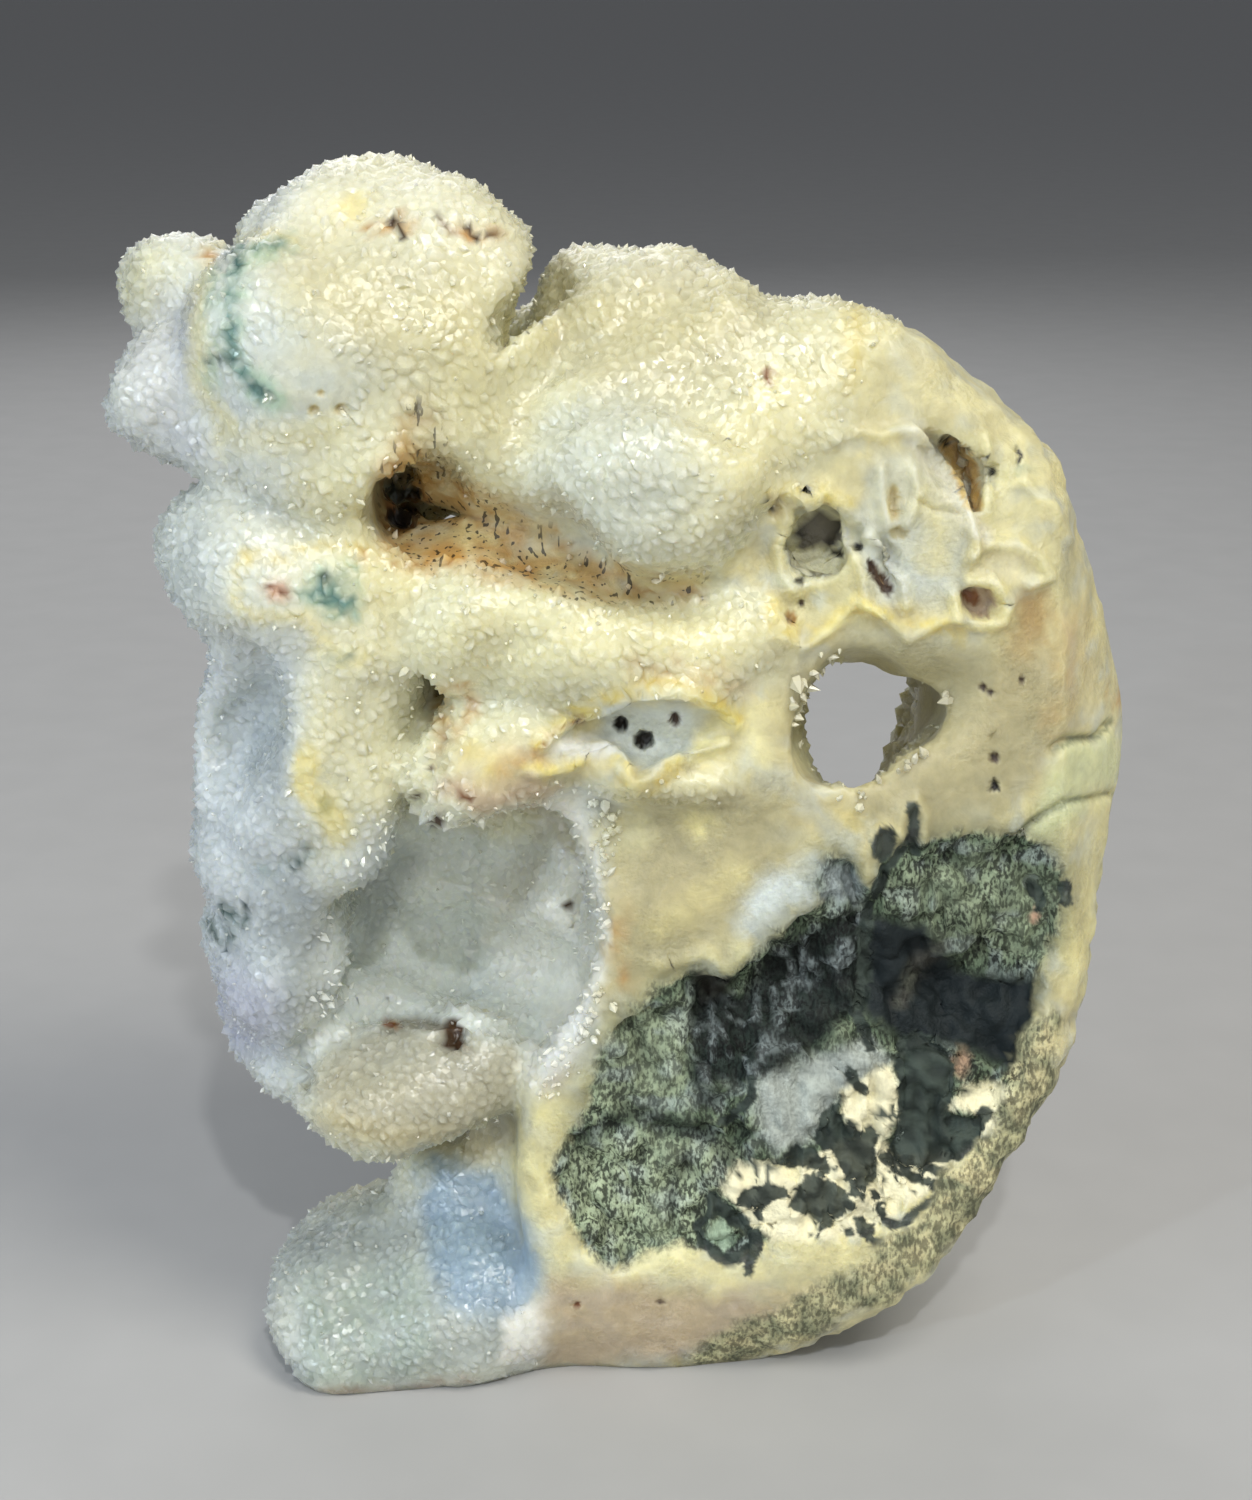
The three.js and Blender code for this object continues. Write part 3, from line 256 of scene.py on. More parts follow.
# Soft colour on the front, by place in the photo, with some painted shade and painted light among it: colour,
# strength, softness in pixels, shape
TINTS = {
    "top_bright": ("snow", 0.35, 40, ("area", [(250, 170), (420, 160), (530, 240), (700, 250), (700, 300),
                                               (420, 260), (260, 240)])),
    "knob_yellow": ("cream", 0.6, 22, ("spot", 145, 285, 34, 40)),
    "lobe_lavender": ("lavender", 0.45, 26, ("area", [(120, 345), (160, 290), (196, 300), (196, 420), (215, 465),
                                                      (170, 465), (130, 430)])),
    "crown_haze": ("mist", 0.55, 26, ("spot", 300, 370, 80, 60)),
    "crown_fringe": ("butter", 0.6, 9, ("line", 9, [(204, 262), (197, 300), (197, 345), (206, 392), (226, 424)])),
    "crown_fringe_green": ("seafoam", 0.6, 8, ("line", 8, [(212, 275), (208, 330), (214, 385)])),
    "crown_c_glow": ("seafoam", 0.85, 9, ("line", 12, [(284, 243), (245, 255), (236, 290), (232, 345), (246, 375),
                                                       (276, 398)])),
    "crown_c": ("teal", 1.0, 5, ("line", 6, [(236, 262), (234, 290), (230, 320), (231, 352), (243, 378),
                                             (262, 392)])),
    "crown_c_top": ("teal", 0.85, 4, ("line", 5, [(230, 250), (256, 247), (284, 243)])),
    "crown_c_spur": ("ink", 0.75, 3, ("line", 3, [(206, 360), (222, 358), (236, 362)])),
    "crown_c_dark": ("ink", 0.7, 3, ("line", 3, [(229, 250), (236, 266), (244, 272)])),
    "crown_c_low": ("ink", 0.6, 3, ("line", 3, [(252, 384), (262, 390), (275, 397)])),
    "crown_line": ("yellow", 0.55, 4, ("line", 3, [(206, 250), (238, 237), (275, 232), (298, 239)])),
    "crown_orange": ("ochre", 0.75, 5, ("spot", 207, 256, 9, 9)),
    "crown_spot": ("butter", 0.7, 9, ("spot", 352, 209, 17, 16)),
    "crown_stain": ("ochre", 0.9, 6, ("line", 6, [(370, 226), (395, 222), (414, 226)])),
    "crown_stain_right": ("ochre", 0.85, 6, ("line", 5, [(450, 228), (480, 236), (494, 232)])),
    "crown_thread": ("umber", 0.8, 2.5, ("line", 1.5, [(431, 209), (440, 220), (450, 231), (466, 229), (474, 238),
                                                       (500, 231)])),
    "crown_low_yellow": ("butter", 0.4, 16, ("line", 14, [(220, 440), (270, 440), (330, 430)])),
    "neck_brown": ("tan", 0.85, 14, ("area", [(402, 395), (432, 392), (446, 440), (452, 478), (430, 490), (400, 495),
                                              (384, 470)])),
    # the hood's khaki is partly its own tone and partly painted shade that darkens this upward-facing lump
    "hood_khaki_and_shade": ("khaki", 0.55, 36, ("area", [(545, 270), (700, 260), (770, 310), (740, 400), (600, 400),
                                               (540, 350)])),
    "crown_shade": ("khaki", 0.4, 36, ("area", [(270, 250), (420, 240), (500, 300), (440, 380), (300, 350)])),
    "face_grey": ("mist", 0.7, 14, ("area", [(850, 520), (880, 450), (930, 450), (970, 540), (950, 600),
                                             (880, 600)])),
    "face_warm": ("butter", 0.6, 12, ("line", 12, [(925, 500), (940, 530), (935, 560)])),
    # the saddle's wax colour is partly its own warm tone and partly painted shade on this upward-facing part
    "saddle_warm_and_shade": ("wax", 0.55, 26, ("spot", 475, 425, 66, 70)),
    "ball_cool": ("mist", 0.5, 34, ("spot", 610, 480, 80, 85)),
    "recess_tan": ("tan", 0.95, 12, ("area", [(378, 465), (405, 445), (430, 455), (470, 480), (540, 525), (600, 556),
                                              (640, 572), (705, 575), (700, 604), (610, 606), (540, 592), (480, 567),
                                              (410, 572), (380, 530)])),
    "recess_ochre": ("ochre", 0.55, 12, ("line", 14, [(390, 545), (425, 556), (470, 560), (520, 575)])),
    "recess_dark": ("rust", 0.8, 9, ("spot", 402, 506, 24, 28)),
    "cheek_frost": ("mist", 0.6, 26, ("spot", 180, 550, 40, 80)),
    "cheek_ring": ("butter", 0.6, 8, ("line", 7, [(243, 553), (235, 578), (243, 604), (266, 614), (300, 612),
                                                  (322, 642), (350, 664), (366, 652)])),
    "cheek_ring_top": ("yellow", 0.55, 7, ("line", 6, [(240, 552), (286, 556), (335, 545), (360, 548)])),
    "cheek_glow": ("seafoam", 0.9, 9, ("area", [(296, 590), (322, 564), (352, 558), (366, 578), (362, 625),
                                                (335, 628), (312, 610)])),
    "cheek_teal": ("teal", 1.0, 5, ("area", [(300, 596), (322, 578), (346, 568), (356, 590), (354, 618), (338, 610),
                                             (318, 602)])),
    "cheek_ink": ("ink", 0.85, 4, ("spot", 326, 578, 10, 8)),
    "cheek_pink": ("pink", 0.9, 5, ("spot", 277, 589, 13, 10)),
    "cheek_orange": ("ochre", 0.6, 5, ("spot", 362, 556, 7, 8)),
    "squiggle": ("ink", 0.9, 2.5, ("line", 3.5, [(329, 652), (341, 661), (355, 654)])),
    "squiggle_glow": ("teal", 0.5, 6, ("line", 6, [(329, 652), (341, 661), (355, 654)])),
    "column_cool": ("frost", 0.85, 30, ("area", [(190, 640), (300, 640), (285, 800), (330, 900), (300, 1080),
                                                 (200, 1060), (180, 860)])),
    # painted shade down the column's hollow
    "column_hollow_shade": ("slate", 0.6, 16, ("spot", 268, 745, 24, 56)),
    "column_yellow": ("butter", 0.95, 8, ("line", 13, [(308, 752), (308, 790), (330, 815), (342, 836)])),
    "column_olive": ("olive", 0.6, 5, ("spot", 325, 806, 8, 9)),
    "column_low": ("dusk", 0.5, 30, ("area", [(260, 860), (330, 880), (335, 1000), (280, 1040), (255, 960)])),
    "column_glow": ("lavender", 0.9, 24, ("spot", 235, 1015, 45, 45)),
    "column_spot": ("ink", 0.8, 4, ("line", 5, [(296, 864), (304, 850)])),
    "column_streak": ("teal", 0.4, 7, ("line", 6, [(262, 872), (296, 862), (312, 850)])),
    "m_left": ("ink", 0.95, 2, ("line", 4, [(207, 920), (220, 943)])),
    "m_stem": ("ink", 0.95, 2, ("line", 4.5, [(223, 906), (232, 950)])),
    "m_right": ("ink", 0.95, 2, ("line", 3.5, [(223, 906), (240, 920), (247, 908), (243, 932)])),
    "m_glow": ("teal", 0.35, 10, ("spot", 226, 926, 18, 20)),
    # the cavity's pale bluish haze is partly its own tone and partly painted light that lifts the shaded cavity
    "cavity_blue_and_light": ("haze", 0.8, 26, ("area", [(335, 850), (440, 790), (600, 790), (590, 1060), (440, 1075),
                                               (310, 1060)])),
    "cavity_shade": ("dusk", 0.6, 20, ("area", [(345, 905), (375, 862), (405, 838), (425, 860), (395, 930),
                                                (360, 955)])),
    "cavity_top": ("cream", 0.5, 14, ("line", 16, [(430, 800), (500, 825), (560, 815)])),
    "cavity_bud": ("snow", 0.75, 22, ("spot", 530, 925, 42, 70)),
    "cavity_brown": ("umber", 0.75, 5, ("line", 6, [(392, 1026), (420, 1024), (452, 1030)])),
    "slot_brown": ("tan", 0.95, 6, ("area", [(430, 690), (446, 692), (450, 720), (446, 745), (432, 745)])),
    "slot_orange": ("ochre", 0.6, 6, ("line", 5, [(441, 693), (470, 688), (468, 712), (455, 742)])),
    "ridge_warm": ("cream", 0.55, 24, ("spot", 560, 640, 150, 40)),
    "nose_warm": ("beige", 0.6, 14, ("area", [(440, 750), (540, 735), (580, 780), (540, 815), (470, 815),
                                              (432, 790)])),
    "nose_yellow": ("yellow", 0.45, 9, ("line", 12, [(476, 752), (488, 772)])),
    "nose_orange": ("ochre", 0.5, 9, ("line", 8, [(500, 770), (530, 762), (548, 745)])),
    "nose_pink": ("pink", 0.45, 10, ("line", 12, [(448, 792), (490, 796), (545, 790)])),
    "eye_ground": ("mist", 0.8, 8, ("area", [(600, 706), (690, 704), (706, 726), (690, 757), (640, 768),
                                             (600, 756)])),
    "eye_upper": ("yellow", 0.8, 6, ("line", 7, [(542, 742), (572, 712), (610, 700), (636, 684), (690, 686),
                                                 (718, 700), (737, 722)])),
    "eye_lower": ("yellow", 0.65, 6, ("line", 6, [(534, 769), (572, 760), (602, 748), (621, 762), (634, 784),
                                                  (650, 780), (686, 757)])),
    "eye_white": ("snow", 0.95, 5, ("spot", 583, 747, 34, 10)),
    "eye_brown": ("rust", 0.85, 3, ("line", 3, [(542, 742), (556, 731), (566, 725), (583, 722)])),
    "above_eye": ("ochre", 0.35, 14, ("line", 12, [(640, 672), (690, 672), (740, 690)])),
    "flat_grey": ("khaki", 1.0, 36, ("area", [(640, 800), (780, 790), (800, 860), (720, 950), (600, 1000),
                                              (610, 900)])),
    "flat_pale": ("cream", 0.6, 14, ("spot", 622, 832, 26, 20)),
    "flat_yellow_a": ("butter", 0.8, 10, ("spot", 585, 845, 14, 14)),
    "flat_yellow_b": ("butter", 0.8, 10, ("spot", 698, 825, 15, 12)),
    "flat_yellow_c": ("butter", 0.5, 14, ("line", 12, [(660, 930), (700, 900), (740, 870)])),
    "strip_white": ("snow", 0.75, 10, ("line", 20, [(560, 820), (585, 880), (590, 950), (572, 1010), (545, 1080)])),
    "strip_tan": ("beige", 0.7, 10, ("line", 9, [(612, 880), (622, 930), (616, 990)])),
    "strip_brown": ("ochre", 0.75, 6, ("line", 6, [(632, 914), (618, 935), (616, 950)])),
    "strip_brown_low": ("ochre", 0.7, 5, ("line", 5, [(622, 968), (626, 985)])),
    "strip_rust": ("rust", 0.8, 4, ("line", 5, [(550, 1085), (564, 1074)])),
    "tongue_white": ("haze", 0.85, 13, ("area", [(730, 930), (745, 890), (790, 862), (822, 850), (822, 885),
                                                 (812, 912), (790, 905), (765, 932)])),
    "low_mottle": ("wall", 0.6, 14, ("line", 12, [(560, 1352), (680, 1352), (770, 1335)])),
    "low_left_cream": ("butter", 0.5, 16, ("line", 16, [(545, 1100), (545, 1170), (560, 1220)])),
    "window_smear": ("yellow", 0.65, 8, ("spot", 864, 823, 26, 9)),
    # painted light: a pale colour on the dish beside the window, which lies in shade
    "dish_painted_light": ("sugar", 0.8, 12, ("area", [(845, 640), (880, 630), (950, 632), (992, 645), (985, 690),
                                                (945, 715), (925, 705), (865, 655)])),
    "window_frost": ("mist", 0.7, 9, ("area", [(880, 735), (925, 700), (950, 712), (948, 748), (905, 772),
                                               (870, 778)])),
    # painted light: a pale colour on the window's right inner wall, which faces away from the key light
    "tunnel_wall_painted_light": ("sugar", 1.0, 8, ("area", [(880, 668), (948, 668), (958, 720), (935, 775), (880, 780)])),
    "right_tan_wash": ("beige", 0.5, 22, ("area", [(1000, 640), (1075, 600), (1090, 740), (1040, 760), (985, 740)])),
    "right_shade": ("wall", 0.35, 28, ("area", [(900, 700), (1040, 700), (1050, 740), (1010, 800), (900, 820)])),
    "stain_top": ("tan", 0.45, 12, ("area", [(1018, 590), (1046, 588), (1056, 622), (1038, 636), (1020, 616)])),
    "pit_bridge": ("lavender", 0.8, 6, ("spot", 843, 540, 9, 13)),
    "yellow_rim": ("yellow", 0.6, 7, ("line", 6, [(767, 494), (789, 490), (808, 500), (827, 490), (845, 504)])),
    "yellow_loop": ("yellow", 0.7, 7, ("line", 6, [(776, 601), (780, 630), (792, 643), (812, 631), (842, 612),
                                                   (865, 597), (872, 612), (896, 626), (930, 622), (960, 628)])),
    "fold_white": ("snow", 0.8, 6, ("line", 8, [(915, 432), (945, 475), (968, 510), (976, 534)])),
    "disc_white": ("bone", 0.8, 8, ("spot", 1006, 566, 26, 22)),
    "shoulder_yellow": ("yellow", 0.6, 12, ("line", 10, [(858, 312), (852, 345), (850, 382)])),
    # the shoulder's wax colour is partly its own warm tone and partly painted shade on this upward-facing part
    "shoulder_warm_and_shade": ("wax", 0.4, 40, ("area", [(760, 290), (900, 310), (1040, 420), (1100, 600), (1000, 640),
                                                (820, 470)])),
    "teal_pit": ("teal", 0.6, 6, ("spot", 1023, 468, 12, 8)),
    "stain_right": ("tan", 0.75, 11, ("area", [(1020, 592), (1050, 590), (1056, 640), (1040, 690), (1010, 720),
                                               (985, 760), (985, 700), (1005, 650)])),
    "right_beige": ("khaki", 0.9, 28, ("area", [(900, 640), (1050, 650), (1065, 720), (1010, 810), (880, 830),
                                                (780, 720), (780, 660)])),
    "edge_orange": ("ochre", 0.35, 14, ("line", 12, [(1078, 620), (1070, 680), (1050, 720)])),
    "side_green": ("celadon", 0.85, 12, ("area", [(1060, 745), (1110, 730), (1130, 760), (1105, 800), (1066, 830),
                                                  (1030, 840)])),
    "side_orange": ("ochre", 0.7, 6, ("spot", 1119, 700, 8, 12)),
    "step_line": ("moss", 0.6, 3, ("line", 3, [(1057, 749), (1070, 740), (1097, 737), (1110, 722)])),
    "crack_line": ("moss", 0.5, 3, ("line", 3, [(1005, 850), (1030, 822), (1067, 802), (1118, 793)])),
    "right_rim": ("butter", 0.5, 12, ("line", 14, [(1100, 800), (1090, 900), (1080, 1000)])),
    "shelf_grey": ("wall", 0.8, 14, ("area", [(305, 1085), (330, 1040), (400, 1020), (520, 1045), (520, 1150),
                                              (400, 1150), (330, 1125)])),
    "shelf_tan": ("beige", 0.6, 14, ("line", 14, [(330, 1120), (400, 1140), (480, 1150)])),
    "foot_grey": ("fog", 0.9, 30, ("area", [(265, 1220), (420, 1195), (545, 1250), (545, 1370), (290, 1400)])),
    "foot_shade": ("dusk", 0.35, 30, ("area", [(300, 1230), (420, 1215), (440, 1370), (300, 1390)])),
    "foot_green": ("seafoam", 0.25, 20, ("area", [(290, 1280), (420, 1260), (440, 1370), (310, 1390)])),
    "wall_ice": ("steel", 0.9, 16, ("area", [(425, 1155), (500, 1170), (545, 1260), (520, 1330), (440, 1300),
                                             (420, 1200)])),
    "patch_fibrous": ("snow", 0.95, 7, ("area", [(505, 1322), (546, 1300), (548, 1350), (492, 1366)])),
    "foot_brown": ("rust", 0.55, 5, ("line", 5, [(320, 1393), (400, 1389), (470, 1380)])),
    "low_band": ("rose", 0.8, 18, ("area", [(550, 1275), (700, 1290), (820, 1290), (740, 1350), (540, 1378)])),
    "low_cream": ("cream", 0.6, 16, ("line", 18, [(640, 1270), (760, 1275), (860, 1262)])),
    "low_grey": ("slate", 0.6, 10, ("spot", 690, 1362, 55, 10)),
}

# Ground colours inside the green recess, in the same way, with painted shade in its deep parts
RECESS_TINTS = {
    "left_pale": ("lichen", 0.65, 14, ("area", [(600, 1040), (690, 1000), (690, 1090), (640, 1110), (590, 1110)])),
    "low_pale": ("lichen", 0.8, 14, ("area", [(560, 1150), (640, 1130), (730, 1150), (720, 1230), (620, 1262),
                                              (566, 1215)])),
    "left_dark": ("pine", 0.6, 9, ("line", 9, [(590, 1133), (625, 1112), (660, 1120), (700, 1130), (735, 1165)])),
    "upper_right": ("lichen", 0.4, 16, ("area", [(900, 870), (1000, 850), (1070, 890), (1060, 980), (1030, 960),
                                                 (930, 940)])),
    # painted shade where the waxy rim overhangs the recess's upper left
    "deep_left_painted_shade": ("pine", 0.95, 9, ("area", [(692, 985), (740, 995), (770, 950), (810, 925), (866, 905), (862, 1000),
                                             (818, 1045), (770, 1080), (740, 1085), (690, 1088)])),
    # deep_right is painted shade, near black, in the deep bay at the recess's upper right
    "deep_right": ("night", 1.0, 9, ("area", [(868, 915), (925, 925), (960, 970), (1036, 978), (1036, 1060),
                                              (1010, 1070), (960, 1046), (900, 1040), (862, 1010)])),
    # a painted highlight along a ridge inside that shade
    "deep_ridge_highlight": ("ash", 0.35, 7, ("line", 7, [(900, 1000), (920, 960), (945, 945)])),
    # painted shadow under the overhanging lip at the recess's upper left corner
    "overhang_painted_shadow": ("soot", 0.9, 6, ("area", [(688, 962), (735, 978), (728, 996), (700, 1000)])),
    "grey_patch": ("slate", 0.7, 9, ("area", [(822, 866), (850, 862), (866, 885), (860, 905), (820, 900)])),
    "blue_patch": ("fog", 0.8, 9, ("area", [(757, 1082), (810, 1058), (870, 1038), (893, 1060), (840, 1095),
                                            (815, 1136), (775, 1155), (757, 1120)])),
    "cream_patch": ("bone", 0.95, 4, ("area", [(842, 1090), (870, 1074), (893, 1062), (900, 1110), (885, 1138),
                                               (846, 1130)])),
    "cream_ground": ("bone", 1.0, 4, ("area", [(738, 1164), (800, 1162), (845, 1140), (880, 1136), (905, 1158),
                                               (945, 1150), (975, 1150), (1003, 1108), (1030, 1100), (985, 1175),
                                               (925, 1225), (860, 1252), (790, 1256), (752, 1225), (722, 1190)])),
    "cream_right": ("bone", 0.95, 4, ("area", [(945, 1108), (965, 1085), (985, 1080), (1008, 1087), (1000, 1125),
                                               (985, 1140), (975, 1112)])),
    "peach": ("pink", 0.6, 5, ("spot", 961, 1063, 9, 14)),
    "peach_dark": ("pine", 0.8, 3, ("line", 4, [(972, 1062), (970, 1080)])),
    "rim_mottle": ("cream", 0.6, 8, ("line", 12, [(1062, 985), (1052, 1050), (1020, 1100)])),
    "peach_spot": ("pink", 0.9, 3, ("spot", 1034, 915, 5, 6)),
    "diamond_inside": ("seafoam", 0.8, 5, ("spot", 720, 1235, 14, 16)),
}

# Dark green marks with crisp edges in and near the recess: half width in pixels and line, or 0 and a closed area
DARK_MARKS = {
    "smooth_tongue": (0, [(897, 1045), (915, 1032), (940, 1040), (952, 1062), (948, 1105), (958, 1125), (978, 1118),
                          (980, 1140), (960, 1160), (925, 1162), (893, 1150), (900, 1100)]),
    "diamond_left": (3.5, [(713, 1195), (711, 1216), (697, 1226), (700, 1240), (722, 1258)]),
    "diamond_right": (4.5, [(713, 1197), (732, 1218), (751, 1231), (756, 1245), (749, 1270)]),
    "diamond_low": (4.5, [(722, 1258), (742, 1258), (754, 1240)]),
    "diamond_tip": (0, [(711, 1194), (716, 1196), (734, 1220), (716, 1214), (710, 1216)]),
    "almond_top": (4, [(883, 1155), (915, 1162), (944, 1174), (947, 1182)]),
    "almond_low": (3, [(883, 1156), (900, 1172), (933, 1187), (947, 1182)]),
    "root_stroke": (3.5, [(893, 1226), (915, 1214), (947, 1187)]),
    "root_dot": (3.5, [(849, 1232), (850, 1233)]),
    "root_square": (6, [(862, 1226), (867, 1230)]),
    "root_fleck": (4, [(880, 1205), (884, 1218), (892, 1226)]),
    "island_a": (0, [(780, 1162), (797, 1146), (818, 1152), (829, 1169), (804, 1166)]),
    "island_b": (0, [(736, 1204), (744, 1190), (760, 1185), (783, 1186), (788, 1197), (772, 1199), (761, 1211)]),
    "island_c": (0, [(787, 1206), (797, 1190), (812, 1171), (826, 1182), (846, 1192), (856, 1208), (838, 1214),
                     (822, 1233), (814, 1216)]),
    "island_d": (0, [(815, 1140), (822, 1112), (836, 1104), (842, 1124), (852, 1131), (876, 1136), (874, 1180),
                     (862, 1190), (848, 1180), (836, 1157)]),
    "island_e": (4.5, [(850, 1072), (856, 1084), (864, 1092)]),
    "right_flecks": (5, [(958, 1120), (975, 1128), (985, 1112)]),
    "curl": (4, [(722, 1122), (738, 1112), (752, 1098), (752, 1080)]),
    "round_spot": (0, [(874, 838), (880, 829), (892, 830), (894, 846), (886, 856), (878, 862), (874, 852)]),
    "finger": (4.5, [(911, 806), (916, 826), (914, 850)]),
    "finger_branch": (3, [(914, 834), (900, 850), (884, 872), (876, 895)]),
    "long_crease": (5, [(868, 905), (862, 940), (864, 985), (855, 1010), (870, 1045)]),
    "hole_a": (6, [(1032, 888), (1038, 902)]),
    "hole_b": (4.5, [(1064, 884), (1065, 902)]),
}

# Where the front is sugary or waxy against the rule of the lumps: change of the sugar share, softness, shape
SUGAR_PATCHES = {
    "shoulder": (1.0, 16, ("area", [(560, 230), (720, 240), (820, 285), (905, 318), (885, 360), (850, 430),
                                    (800, 475), (750, 500), (640, 470), (600, 380)])),
    "top_edge": (0.7, 8, ("line", 9, [(880, 320), (930, 345), (985, 385), (1040, 430)])),
    "ridge_end": (0.9, 14, ("area", [(640, 575), (760, 590), (800, 640), (790, 690), (740, 688), (640, 680)])),
    "brown_recess": (-1.2, 10, ("area", [(368, 470), (430, 490), (470, 500), (540, 525), (620, 560), (705, 578),
                                         (700, 600), (610, 600), (540, 585), (480, 555), (410, 560), (368, 530)])),
    "crown_smooth": (-0.9, 12, ("area", [(250, 345), (300, 335), (352, 360), (360, 400), (330, 425), (280, 415),
                                         (245, 385)])),
    "crown_spot": (-0.9, 6, ("spot", 353, 208, 17, 15)),
    "cheek_ring": (-0.6, 16, ("area", [(228, 555), (300, 545), (345, 545), (368, 575), (368, 660), (335, 665),
                                       (300, 618), (235, 612)])),
    "column_patch": (-0.7, 8, ("line", 13, [(305, 750), (312, 790), (335, 820), (342, 836)])),
    "eye_band": (-1.2, 8, ("area", [(470, 742), (540, 742), (575, 712), (633, 684), (715, 695), (742, 722),
                                    (735, 760), (650, 790), (560, 775), (500, 790), (450, 770)])),
    "window_rim": (0.9, 8, ("line", 10, [(850, 655), (803, 690), (798, 740), (830, 790), (880, 775), (935, 725)])),
    "fringe": (1.0, 8, ("line", 20, [(545, 812), (590, 850), (598, 930), (585, 1000), (560, 1040), (535, 1090)])),
}

# Lips and folds of the waxy face, and grooves where the rise is below 0: rise in mm, half width in pixels, line
FOLDS = {
    "round_pit_top": (1.0, 7, [(767, 495), (789, 490), (808, 499), (827, 489), (846, 503), (856, 520)]),
    "round_pit_left": (0.8, 7, [(784, 515), (777, 545), (782, 575), (797, 594)]),
    "yellow_loop": (0.9, 7, [(767, 602), (780, 633), (802, 647), (829, 629), (856, 598), (882, 611), (909, 636),
                             (936, 622), (953, 616)]),
    "lavender_ridge": (0.9, 6, [(836, 518), (851, 544), (860, 567), (866, 600), (884, 612)]),
    "slit_right": (0.9, 6, [(869, 535), (887, 558), (904, 580), (906, 604)]),
    "shallow_left": (0.7, 6, [(880, 470), (882, 500), (889, 524)]),
    "shallow_right": (0.7, 6, [(913, 470), (917, 496), (907, 522)]),
    "white_fold": (1.2, 6, [(912, 430), (930, 456), (948, 480), (966, 510), (974, 540), (969, 558)]),
    "fold_arc": (0.7, 7, [(828, 440), (850, 430), (880, 436), (902, 430)]),
    "deep_right": (0.8, 6, [(984, 437), (991, 470), (985, 512)]),
    "disc_rim": (0.9, 7, [(969, 556), (989, 544), (1015, 544), (1038, 558), (1047, 576), (1029, 584)]),
    "ring_rim": (1.0, 6, [(953, 593), (956, 614), (976, 626), (1002, 622), (1009, 600), (991, 580), (968, 580)]),
    "thin_crack": (-0.5, 3, [(918, 500), (936, 510), (960, 512)]),
    "right_arc": (0.5, 7, [(1024, 482), (1051, 509), (1066, 540)]),
    "eye_upper": (1.1, 7, [(540, 742), (572, 714), (606, 702), (636, 690), (690, 690), (720, 702), (736, 724)]),
    "eye_lower": (1.1, 7, [(532, 770), (572, 762), (602, 752), (621, 764), (634, 784), (650, 780), (688, 757),
                           (724, 742)]),
    "eye_fold": (0.6, 5, [(560, 748), (600, 745), (618, 752)]),
    "finger_lip": (0.8, 7, [(897, 835), (903, 808), (916, 798), (924, 815), (922, 840)]),
    "spot_lip": (0.7, 6, [(872, 850), (874, 832), (886, 824), (898, 832)]),
    "overhang": (0.8, 9, [(660, 965), (690, 958), (705, 952), (728, 968), (745, 950)]),
    "right_step": (-0.9, 5, [(1055, 750), (1068, 740), (1097, 737), (1110, 724)]),
    "right_crack": (-0.6, 4, [(1010, 845), (1040, 818), (1067, 802), (1118, 793)]),
    "shelf_gap": (-1.4, 8, [(296, 1082), (305, 1046), (335, 1022), (390, 1008), (450, 1018), (500, 1026),
                            (545, 1040)]),
    "toe_gap": (-1.0, 12, [(230, 1035), (265, 1062), (300, 1082)]),
    "bud_left": (-0.9, 12, [(470, 830), (462, 900), (470, 960)]),
    "nose_left": (-1.2, 7, [(440, 735), (432, 765), (428, 785), (410, 815)]),
    "hood_crease": (-1.8, 17, [(545, 428), (575, 405), (620, 392), (670, 395), (715, 412), (745, 440)]),
    "under_hood": (-0.7, 14, [(520, 420), (535, 470), (560, 505)]),
}

